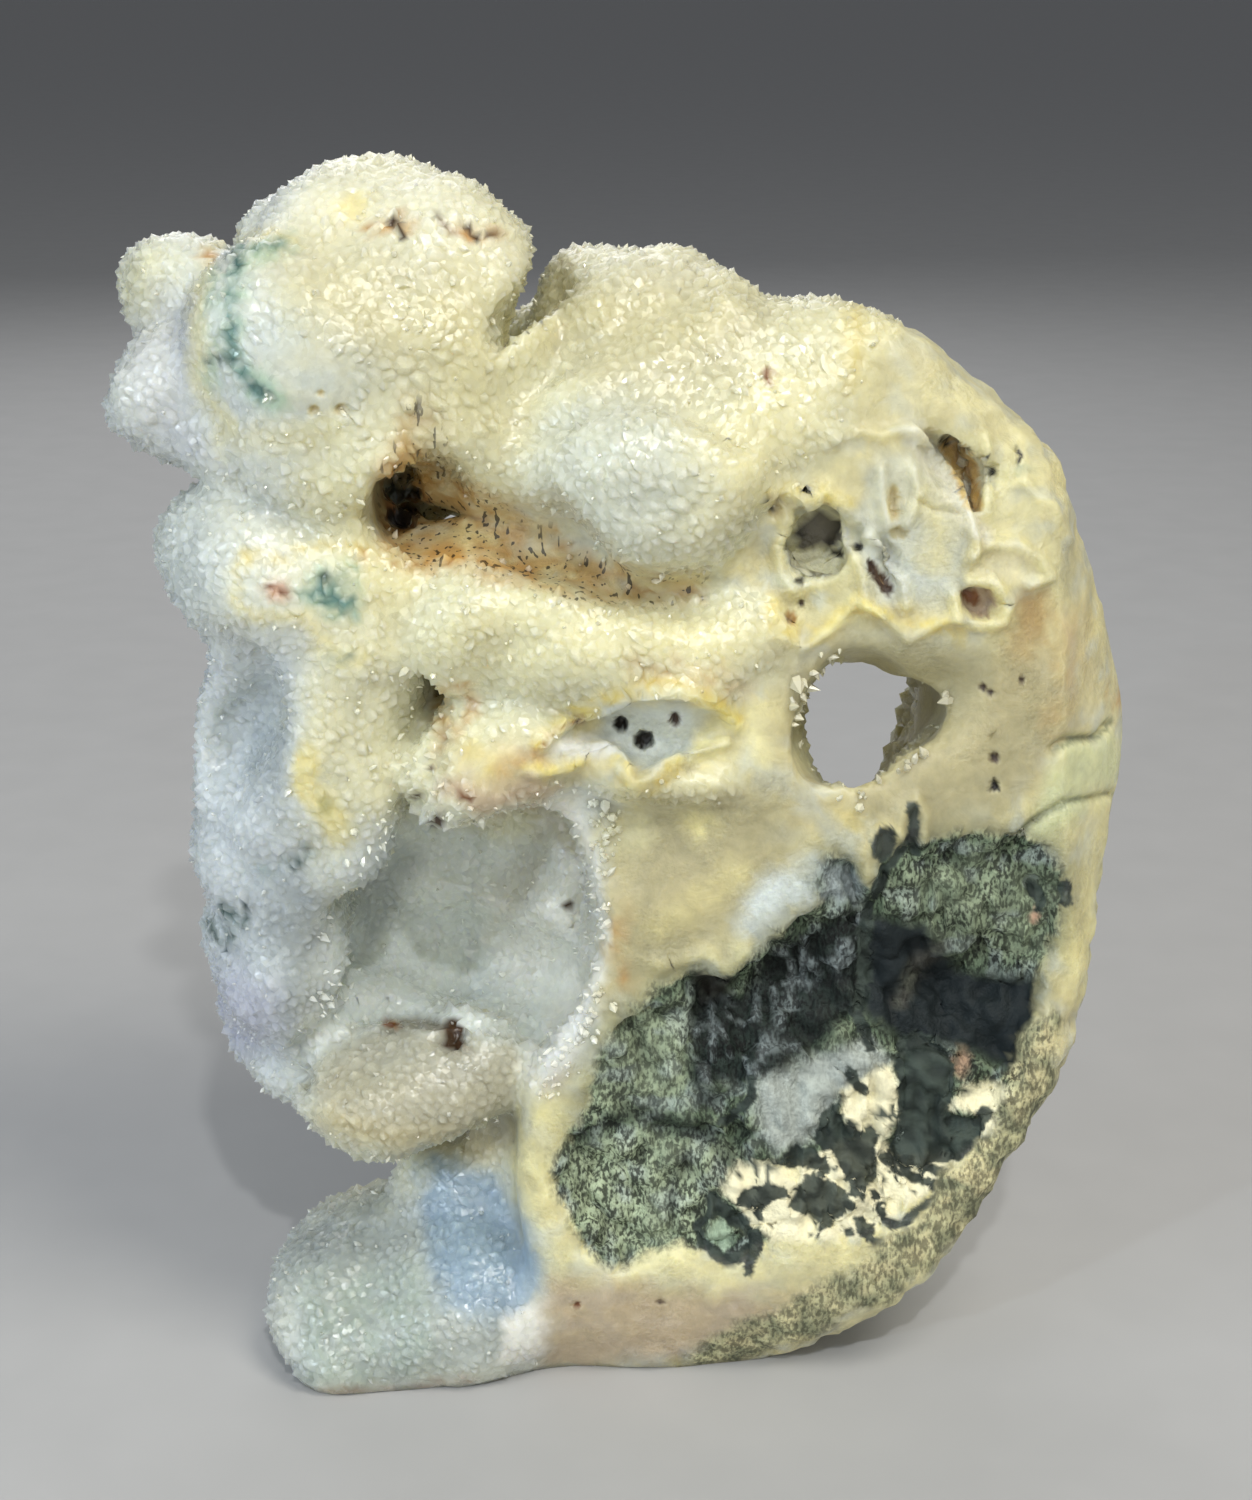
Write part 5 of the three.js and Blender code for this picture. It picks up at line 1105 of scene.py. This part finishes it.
def recess_ground(points, px, py):
    """Colour of the green recess's floor, with painted shade in its deep parts and troughs and painted highlights on
    its ridge crests, and where it is plain.
    """
    ground = np.tile(rgb("moss"), (len(points), 1))
    plain = np.zeros(len(points))
    # deep marks where the pine tints lie, among them the painted shade of the upper left
    deep = np.zeros(len(points))
    for colour, strength, soft, shape in RECESS_TINTS.values():
        mask = strength * smoothstep(soft, -soft, shape_distance(px, py, shape))
        deep = deep * (1 - mask) + mask * (colour == "pine")
        ground = paint(ground, colour, mask)
        plain = plain * (1 - mask) + mask * (colour in PLAIN_GROUNDS)
    tops = 0.45 + 1.1 * (noise(points, 2.6, 41) * 0.6 + noise(points, 1.1, 42) * 0.4)
    ground = ground * (plain + (1 - plain) * tops)[:, None]
    ground = paint(ground, "slate", 0.3 * (1 - plain) * (1 - deep) * smoothstep(0.6, 0.72, noise(points, 1.5, 43)))
    # painted highlights on the ridge crests, dusk in the deep parts and lichen elsewhere, and painted shade, pine, in
    # the troughs between them
    ridge = ridges(points)
    crest = smoothstep(0.72, 0.96, ridge)
    ground = paint(ground, "dusk", 0.6 * deep * crest * smoothstep(0.35, 0.6, noise(points, 4, 45)))
    ground = paint(ground, "lichen", 0.35 * (1 - plain) * (1 - deep) * crest)
    ground = paint(ground, "pine", 0.6 * (1 - plain) * smoothstep(0.5, 0.15, ridge))
    return ground, plain


def dark_marks(px, py, blotches, seen):
    """1 on the dark green marks and on the blotches between the cream veins."""
    dark = seen * smoothstep(3, -3, shape_distance(px, py, VEINS)) * smoothstep(0.66, 0.7, blotches)
    for half, line in DARK_MARKS.values():
        if half:
            away = stroke_distance(px, py, line) - half
        else:
            away = polygon_distance(px, py, np.array(line, float))
        dark = np.maximum(dark, smoothstep(2.6, 0.2, away))
    return dark


def stone_looks(points, normals, sugar):
    """Colour, graininess, recess and needle shares at each point."""
    seen = smoothstep(-0.15, 0.15, facing_photo(points, normals))
    flat_px, flat_py = to_photo(points)
    px = strayed(points, flat_px, (16, 2.2, 11), (8, 0.8, 12))
    py = strayed(points, flat_py, (16, 2.2, 13), (8, 0.8, 14))
    near_px = strayed(points, flat_px, (6, 1.0, 18), (4, 0.4, 23))
    near_py = strayed(points, flat_py, (6, 1.0, 19), (4, 0.4, 24))
    pit_px = strayed(points, flat_px, (2.5, 0.5, 29))
    pit_py = strayed(points, flat_py, (2.5, 0.5, 30))
    mottle = 0.35 + 0.65 * smoothstep(0.35, 0.6, 0.5 * noise(points, 1.4, 39) + 0.5 * noise(points, 0.6, 40))
    blotches = 0.6 * noise(points, 1.3, 32) + 0.4 * noise(points, 0.55, 33)
    x, y, z = points.T
    tint = waxy_ground(points)
    tint = tint + (sugary_ground(points, flat_px, flat_py) - tint) * smoothstep(0.2, 0.8, sugar)[:, None]
    for colour, strength, soft, shape in TINTS.values():
        crisp = soft <= 5
        away = shape_distance(near_px if crisp else px, near_py if crisp else py, shape)
        mask = strength * seen * smoothstep(soft, -soft, away)
        tint = paint(tint, colour, mask * (mottle if colour in MOTTLED else 1))
    # the green recess, and a green breath on the waxy face round it
    side = recess_side(x, z) + 0.9 * (noise(points, 1.6, 27) - 0.5) + 0.5 * (noise(points, 0.6, 28) - 0.5)
    on_face = front_half(y) * (1 - smoothstep(0.3, 0.7, sugar))
    edge = smoothstep(0.15, -0.5, side) * on_face
    halo = np.exp(-np.maximum(side, 0) / 1.6) * on_face * smoothstep(24, 40, z + 0.25 * (20 - x)) * (1 - edge)
    tint = paint(tint, "moss", 0.62 * halo)
    ground, plain = recess_ground(points, near_px, near_py)
    tint = tint + (ground - tint) * edge[:, None]
    # marks, pits and the rind
    dark = dark_marks(near_px, near_py, blotches, seen) * ((seen > 0.3) * (y < -6))
    tint = paint(tint, "bottle", 0.95 * dark)
    tint = paint(tint, "pine", 0.6 * dark * smoothstep(0.45, 0.6, noise(points, 0.9, 34)))
    for _, colour, shape in PITS.values():
        tint = paint(tint, colour, seen * smoothstep(1.2, -1.2, shape_distance(pit_px, pit_py, shape)))
    rind = seen * smoothstep(5, -5, shape_distance(px, py, RIND))
    tint = paint(tint, "khaki", rind)
    tint = paint(tint, "moss", 0.7 * rind * smoothstep(0.3, 0.55, blotches))
    tint = paint(tint, "cream", 0.4 * rind * smoothstep(0.55, 0.68, noise(points, 0.7, 31)))
    calm = 0.65 + 0.35 * smoothstep(0.3, 0.6, noise(points, 3.2, 46))
    grainy = clamp01(edge * (1 - plain) * (1 - dark) * calm + 0.6 * rind)
    needles = seen * smoothstep(10, -10, shape_distance(px, py, TINTS["recess_tan"][3]))
    needles = np.maximum(needles, 0.8 * seen * smoothstep(10, -10, shape_distance(px, py, TINTS["neck_brown"][3])))
    return tint, grainy, np.maximum(edge, 0.7 * rind), needles


def dent(points, normals):
    """Pits go in and their lips come out, on the side that the photo shows."""
    px, py = to_photo(points)
    seen = smoothstep(-0.1, 0.2, facing_photo(points, normals))
    shift = np.zeros(len(points))
    for rise, half, line in FOLDS.values():
        shift += rise * np.exp(-(stroke_distance(px, py, line) / half) ** 2)
    for depth, _, shape in PITS.values():
        shift -= depth * smoothstep(1.5, -3.5, shape_distance(px, py, shape))
    return points + normals * (shift * seen)[:, None]


def near_marks(points, reach):
    """Where the edges of small marks need small triangles, within that many pixels."""
    px, py = to_photo(points)
    near = np.zeros(len(points), bool)
    for _, _, shape in PITS.values():
        near |= np.abs(shape_distance(px, py, shape) + 1) < reach
    for _, half, line in FOLDS.values():
        near |= stroke_distance(px, py, line) < reach + half * 0.5
    for half, line in DARK_MARKS.values():
        near |= np.abs(stroke_distance(px, py, line if half else line + line[:1]) - half) < reach
    for _, _, soft, shape in TINTS.values():
        if soft <= 3:
            near |= np.abs(shape_distance(px, py, shape)) < reach
    return near & (points[:, 1] < 4)


def make_stone():
    """The stone's points and triangles, which of them are flat crystal faces, and how the surface lies under them."""
    points, quads = surface_net(*sample_grid())
    triangles = np.concatenate([quads[:, [0, 1, 2]], quads[:, [0, 2, 3]]])
    normals = vertex_normals(points, triangles)
    sugar = sugar_share(points)
    recess = recess_share(points)
    above = clamp01(points[:, 2] / BOTTOM_FADE)
    shift = sugar * KNOB_HEIGHT * (cobbles(points, KNOB_SIZE) - 0.5)
    shift += recess * CRAG_HEIGHT * (cobbles(points, CRAG_SIZE) - 0.6)
    chipped = smoothstep(-3.2, -0.6, body_side(points[:, 0], points[:, 2])) * (1 - sugar) * (points[:, 0] > 4)
    shift += chipped * CHIP_HEIGHT * (cobbles(points, CHIP_SIZE) - 0.8)
    points = points + normals * (shift * above)[:, None]
    front = (points[:, 1] < 6) & (normals[:, 1] < 0.35) | (points[:, 2] > 100)
    wanted = np.where(sugar > 0.5, np.where(front, DRUSE_EDGE, BACK_DRUSE_EDGE), SMOOTH_EDGE)
    wanted = np.where(recess > 0.3, RECESS_EDGE, wanted)
    wanted = np.where((points[:, 2] < 0.5) & (normals[:, 2] < -0.8), BOTTOM_EDGE, wanted)
    points = points + np.random.default_rng(3).normal(size=points.shape) * 0.03 * (points[:, 2:3] > 0.5)
    points, triangles = thin_out(points, triangles, wanted, TRIANGLES)
    points[:, 2] = np.where(points[:, 2] < FLAT_BOTTOM, 0, points[:, 2])
    sugar = sugar_share(points)
    for reach in MARK_REACHES:
        near = near_marks(points, reach)[triangles].any(1) & (sugar[triangles].mean(1) < 0.5)
        points, triangles = refine(points, triangles, near)
        sugar = sugar_share(points)
    normals = vertex_normals(points, triangles)
    points = dent(points, normals)
    recess = recess_share(points)
    px, py = to_photo(points)
    rind = smoothstep(6, -6, shape_distance(px, py, RIND)) * (points[:, 1] < 4)
    rough = recess * (0.6 * (cobbles(points, 1.5) - 0.6) + 0.3 * (noise(points, 0.7, 21) - 0.5)
                      + 1.4 * (ridges(points) - 0.6))
    rough += rind * (0.45 * (cobbles(points, 1.7) - 0.6) + 0.2 * (noise(points, 0.8, 37) - 0.5))
    low = smoothstep(13, 4, points[:, 2]) * smoothstep(-4, 2, points[:, 0])
    waxy = 0.5 * (noise(points, 5.5, 22) - 0.5) + (0.2 + 0.5 * low) * (noise(points, 1.8, 38) - 0.5)
    waxy *= (1 - recess) * (1 - sugar)
    points = points + normals * ((rough + waxy) * clamp01(points[:, 2] / BOTTOM_FADE))[:, None]
    sugary = sugar[triangles].mean(1) > 0.5
    sugary &= points[triangles][:, :, 2].min(1) > LOWEST_SUGAR
    return grow_crystals(points, triangles, sugary, np.random.default_rng(5))


def quartz_crystals(tips, directions, lengths, roll):
    """Six-sided points with a six-sided end: 13 points and 18 triangles each."""
    count = len(tips)
    turn = roll.random(count) * math.pi
    angle = turn[:, None] + np.arange(6) * math.pi / 3
    helper = np.where(np.abs(directions[:, 2:3]) < 0.8, [[0, 0, 1.0]], [[1.0, 0, 0]])
    side = np.cross(directions, helper)
    side /= np.linalg.norm(side, axis=1)[:, None]
    across = np.cross(directions, side)
    radius = np.maximum(lengths, 0.4) * (0.3 + 0.2 * roll.random(count))
    ring = np.cos(angle)[..., None] * side[:, None] + np.sin(angle)[..., None] * across[:, None]
    ring = ring * radius[:, None, None]
    foot = tips - directions * lengths[:, None] * 0.5
    neck = tips + directions * lengths[:, None] * (0.15 + 0.3 * roll.random(count))[:, None]
    wobble = 1 + 0.25 * (roll.random((count, 6, 1)) - 0.5)
    end = tips + directions * lengths[:, None]
    points = np.concatenate([foot[:, None] + ring, neck[:, None] + ring * wobble, end[:, None]], 1)
    around = np.arange(6)
    after = (around + 1) % 6
    pattern = np.concatenate([np.stack([around, after, after + 6], 1), np.stack([around, after + 6, around + 6], 1),
                              np.stack([around + 6, after + 6, np.full(6, 12)], 1)])
    triangles = (np.arange(count) * 13)[:, None, None] + pattern[None]
    return points.reshape(-1, 3), triangles.reshape(-1, 3)


def front_points(x, z):
    """Where lines along +Y from the front first meet the stone, and which of them meet it."""
    y = np.full(x.shape, FRONT_START)
    for _ in range(FRONT_STEPS):
        distance = stone_distance(*(v[:, None].astype(np.float32) for v in (x, y, z)))[:, 0]
        y = y + np.where(distance > FRONT_NEAR, np.maximum(distance * 0.6, FRONT_NEAR), 0)
    return np.stack([x, y, z], 1), distance < 0.1


def outward(points):
    """Directions straight out of the stone, from the slope of its distance."""
    step = 0.6
    slope = []
    for axis in range(3):
        move = np.zeros(3)
        move[axis] = step
        slope.append(stone_distance(*as_rows(points + move))[:, 0] - stone_distance(*as_rows(points - move))[:, 0])
    slope = np.stack(slope, 1)
    return slope / (np.linalg.norm(slope, axis=1)[:, None] + 1e-9)


def along_path(path, shares):
    """Points at the given shares of a path's length."""
    corners = np.array(path, float)
    lengths = np.concatenate([[0], np.cumsum(np.linalg.norm(np.diff(corners, axis=0), axis=1))])
    at = shares * lengths[-1]
    return np.interp(at, lengths, corners[:, 0]), np.interp(at, lengths, corners[:, 1])


def make_crystals(stone_points, stone_triangles, flat):
    """Loose-set larger points: along the ragged edges and scattered over the druse."""
    roll = np.random.default_rng(9)
    feet, lengths = [], []
    for path, count, length, width in CRYSTAL_ROWS.values():
        x, z = along_path(path, (np.arange(count) + roll.random(count)) / count)
        spots, met = front_points(x + roll.normal(size=count) * width, z + roll.normal(size=count) * width)
        feet.append(spots[met])
        lengths.append(length * (0.4 + 0.7 * roll.random(met.sum()) ** 2))
    centres = stone_points[stone_triangles[flat]].mean(1)
    front = np.flatnonzero((centres[:, 1] < 8) & (centres[:, 2] > 1.5))
    picked = roll.choice(front, SCATTERED, replace=False)
    feet.append(centres[picked])
    lengths.append(0.28 + 0.4 * roll.random(len(picked)) ** 3)
    feet, lengths = np.concatenate(feet), np.concatenate(lengths)
    direction = outward(feet) + roll.normal(size=feet.shape) * POINT_LEAN
    direction /= np.linalg.norm(direction, axis=1)[:, None]
    return quartz_crystals(feet, direction, lengths, roll)


class Value:
    """A node's output that takes part in Python expressions."""

    def __init__(self, tree, output):
        self.tree = tree
        self.output = output

    def math(self, operation, *others, clamp=False):
        node = self.tree.nodes.new("ShaderNodeMath")
        node.operation = operation
        node.use_clamp = clamp
        for socket, value in zip(node.inputs, (self, *others)):
            connect(self.tree, value, socket)
        return Value(self.tree, node.outputs[0])

    def __add__(self, other):
        return self.math("ADD", other)

    def __sub__(self, other):
        return self.math("SUBTRACT", other)

    def __mul__(self, other):
        return self.math("MULTIPLY", other)

    def __truediv__(self, other):
        return self.math("DIVIDE", other)

    def __rsub__(self, other):
        return (self * -1) + other

    __radd__ = __add__
    __rmul__ = __mul__

    def clamp(self):
        return self.math("ADD", 0, clamp=True)

    def step(self, low, high):
        """0 below low and 1 above high, smooth between; low may be the larger."""
        share = ((self - low) / (high - low)).clamp()
        return share * share * (3 - 2 * share)


def connect(tree, value, socket):
    """Links a node's output to a socket, or sets the socket to a plain value."""
    if isinstance(value, Value):
        tree.links.new(value.output, socket)
    elif value is not None:
        socket.default_value = value


class Material:
    """A material's nodes, made one call at a time."""

    def __init__(self, name):
        self.material = bpy.data.materials.new(name)
        self.material.use_nodes = True
        self.tree = self.material.node_tree
        self.tree.nodes.clear()

    def node(self, kind, settings=None, out=0, **inputs):
        """Adds a node: settings first, then its sockets by name with _ for a blank."""
        node = self.tree.nodes.new("ShaderNode" + kind)
        for name, value in (settings or {}).items():
            setattr(node, name, value)
        for name, value in inputs.items():
            connect(self.tree, value, self.socket(node, name))
        return Value(self.tree, node.outputs[out])

    @staticmethod
    def socket(node, name):
        """The input with that identifier, or with that name where _ stands for a blank."""
        by_identifier = [s for s in node.inputs if s.identifier == name]
        return by_identifier[0] if by_identifier else node.inputs[name.replace("_", " ")]

    def place(self):
        return self.node("TexCoord", out="Object")

    def attribute(self, name, out="Fac"):
        return self.node("Attribute", {"attribute_name": name}, out=out)

    def noise(self, scale, detail, stretch=None, **inputs):
        place = self.place() if stretch is None else self.vector("MULTIPLY", self.place(), stretch)
        return self.node("TexNoise", out="Fac", Vector=place, Scale=scale, Detail=detail, **inputs)

    def vector(self, operation, *inputs):
        names = ("Vector", "Vector_001", "Vector_002")
        return self.node("VectorMath", {"operation": operation}, **dict(zip(names, inputs)))

    def mix(self, share, a, b, blend="MIX"):
        """A colour mix by its factor."""
        node = self.tree.nodes.new("ShaderNodeMix")
        node.data_type = "RGBA"
        node.blend_type = blend
        for name, value in (("Factor", share), ("A", a), ("B", b)):
            socket = next(s for s in node.inputs if s.name == name and s.enabled)
            connect(self.tree, value, socket)
        return Value(self.tree, next(s for s in node.outputs if s.enabled))

    def finish(self, shader):
        output = self.tree.nodes.new("ShaderNodeOutputMaterial")
        self.tree.links.new(shader.output, output.inputs["Surface"])
        return self.material


def grey(m, value):
    """A number as a grey colour."""
    return m.node("CombineColor", Red=value, Green=value, Blue=value)


def stone_material():
    """Waxy, sugary and mossy chalcedony in one, by the shares that the mesh carries."""
    m = Material("chalcedony")
    tint = m.attribute("tint", out="Color")
    grainy = m.attribute("grainy")
    sugar = m.attribute("sugar")
    recess = m.attribute("recess")
    needles = m.attribute("needles")
    lie = m.attribute("lie", out="Vector")
    cloud = m.noise(190.0, 3.0)
    fine = m.noise(900.0, 4.0, Roughness=0.6)
    grit = m.noise(2300.0, 2.0)
    flaws = m.noise(330.0, 5.0, Roughness=0.65, Distortion=0.6)
    wax = 1 - sugar
    cell = m.node("TexVoronoi", {"feature": "F1"}, out="Color", Vector=m.place(), Scale=1700.0)
    grain = m.node("SeparateColor", Color=cell)
    granular = m.noise(150.0, 2.0).step(0.40, 0.58) * wax
    shade = 0.98 + (cloud - 0.5) * 0.2 + (fine - 0.5) * (0.12 + wax * 0.3) + (flaws - 0.5) * wax * 0.5
    shade = shade + (grit - 0.5) * granular * 0.3 + (grain - 0.5) * sugar * 0.1
    lit = m.mix(1.0, tint, grey(m, shade), "MULTIPLY")
    # granular green ground: dark creases and pale grains
    streaks = m.noise(3000.0, 2.0, (1.0, 1.0, 0.45))
    lumps = fine * 0.35 + streaks * 0.65
    grains = 0.26 + lumps.step(0.42, 0.58) * 1.4
    ground = m.mix(1.0, lit, grey(m, grains), "MULTIPLY")
    base = m.mix(grainy, lit, ground)
    # short dark needles in the brown recess
    thorn = m.noise(1900.0, 1.0, (1.0, 1.0, 0.18))
    base = m.mix(thorn.step(0.62, 0.66) * needles * 0.85, base, (*rgb("soot"), 1.0))
    bump = fine * (sugar * 0.1 + grainy * 1.2 + 0.3) + streaks * grainy * 1.4 + grit * granular * 1.1
    bump = bump + flaws * (0.3 + wax * 1.1)
    bumped = m.node("Bump", Strength=0.6, Distance=0.0003, Height=bump)
    # the druse takes its shading from how it lies, and each grain leans its own way
    tilt = m.vector("MULTIPLY_ADD", cell, (1.3, 1.3, 1.3), (-0.65, -0.65, -0.65))
    soft = m.vector("MULTIPLY_ADD", lie, (3.3, 3.3, 3.3), tilt)
    soft = m.node("VectorMath", {"operation": "SCALE"}, Vector=soft, Scale=sugar)
    normal = m.vector("NORMALIZE", m.vector("ADD", bumped, soft))
    rough = 0.44 + fine * 0.16 - sugar * 0.26 + recess * 0.2
    waxy = m.node("BsdfPrincipled", {"subsurface_method": "RANDOM_WALK"}, Base_Color=base, Roughness=rough,
                  Normal=normal, Subsurface_Weight=0.8, Subsurface_Scale=0.0036, Subsurface_Radius=(1.0, 0.9, 0.65),
                  IOR=1.54)
    dull = m.node("BsdfPrincipled", Base_Color=base, Roughness=rough, Normal=normal, IOR=1.5, Specular_IOR_Level=0.3)
    return m.finish(m.node("MixShader", Fac=recess, Shader=waxy, Shader_001=dull))


def crystal_material():
    """Clear quartz that takes its tint from the stone round it."""
    m = Material("clear_quartz")
    tint = m.attribute("tint", out="Color")
    cloud = m.noise(700.0, 2.0)
    base = m.mix(1.0, tint, grey(m, 0.95 + cloud * 0.12), "MULTIPLY")
    return m.finish(m.node("BsdfPrincipled", Base_Color=base, Roughness=0.1 + cloud * 0.08, IOR=1.55, Coat_Weight=1.0,
                           Coat_Roughness=0.03))


def set_attribute(mesh, name, values):
    """Keeps a direction, a colour or a share at each point of a mesh."""
    if name == "lie":
        layer = mesh.attributes.new(name, "FLOAT_VECTOR", "POINT")
        layer.data.foreach_set("vector", values.astype(np.float32).ravel())
    elif values.ndim == 2:
        layer = mesh.attributes.new(name, "FLOAT_COLOR", "POINT")
        opaque = np.concatenate([values, np.ones((len(values), 1))], 1)
        layer.data.foreach_set("color", opaque.astype(np.float32).ravel())
    else:
        layer = mesh.attributes.new(name, "FLOAT", "POINT")
        layer.data.foreach_set("value", values.astype(np.float32))


def build():
    """The stone and its quartz points, in place of the CAD solid."""
    points, triangles, flat, lie = make_stone()
    normals = vertex_normals(points, triangles)
    sugar = sugar_share(points)
    tint, grainy, recess, needles = stone_looks(points, normals, sugar)
    stone = mesh_object("stone", points, triangles, flat)
    looks = {"tint": tint, "grainy": grainy, "sugar": sugar, "recess": recess, "needles": needles, "lie": lie}
    for name, values in looks.items():
        set_attribute(stone.data, name, values)
    stone.data.materials.append(stone_material())
    crystal_points, crystal_triangles = make_crystals(points, triangles, flat)
    crystals = mesh_object("quartz_points", crystal_points, crystal_triangles, np.ones(len(crystal_triangles), bool))
    crystal_tint = stone_looks(crystal_points, outward(crystal_points), np.ones(len(crystal_points)))[0]
    crystal_tint = crystal_tint + (rgb("snow") - crystal_tint) * 0.35
    set_attribute(crystals.data, "tint", crystal_tint)
    crystals.data.materials.append(crystal_material())
    for piece in (stone, crystals):
        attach(piece, "root")
        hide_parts("chalcedony")


def make_stage():
    """A plain pale floor."""
    half = FLOOR_HALF
    mesh = bpy.data.meshes.new("floor")
    mesh.from_pydata([(-half, -half, 0), (half, -half, 0), (half, half, 0), (-half, half, 0)], [], [(0, 1, 2, 3)])
    floor = bpy.data.objects.new("floor", mesh)
    bpy.context.scene.collection.objects.link(floor)
    m = Material("pale_floor")
    colour = grey(m, 0.42 + m.noise(90.0, 2.0) * 0.04)
    mesh.materials.append(m.finish(m.node("BsdfPrincipled", Base_Color=colour, Roughness=0.9)))


def area_light(name, place, size, power, colour):
    light = bpy.data.lights.new(name, "AREA")
    light.size = size
    light.energy = power
    light.color = colour
    lamp = bpy.data.objects.new(name, light)
    lamp.location = place
    lamp.visible_camera = False
    lamp.rotation_euler = (Vector(LIGHTS_AIM) - Vector(place)).to_track_quat("-Z", "Y").to_euler()
    bpy.context.scene.collection.objects.link(lamp)


def make_light():
    """Soft lights round the stone and a dim room."""
    for name, (place, size, power, colour) in LIGHTS.items():
        area_light(name, place, size, power, colour)
    world = bpy.data.worlds.new("world")
    world.use_nodes = True
    room = world.node_tree.nodes["Background"].inputs
    room["Color"].default_value = (0.80, 0.83, 0.88, 1)
    room["Strength"].default_value = 0.2
    bpy.context.scene.world = world


def make_camera():
    """The camera from which the photo shows the stone."""
    data = bpy.data.cameras.new("camera")
    data.lens = LENS
    data.sensor_fit = "AUTO"
    data.sensor_width = SENSOR
    camera = bpy.data.objects.new("camera", data)
    camera.location = Vector((TARGET - CENTRE - CAMERA_DISTANCE * VIEW) * MM)
    camera.rotation_euler = Vector(VIEW).to_track_quat("-Z", "Y").to_euler()
    bpy.context.scene.collection.objects.link(camera)
    bpy.context.scene.camera = camera


build()
make_stage()
bpy.context.scene.view_settings.view_transform = "Standard"
make_light()
make_camera()
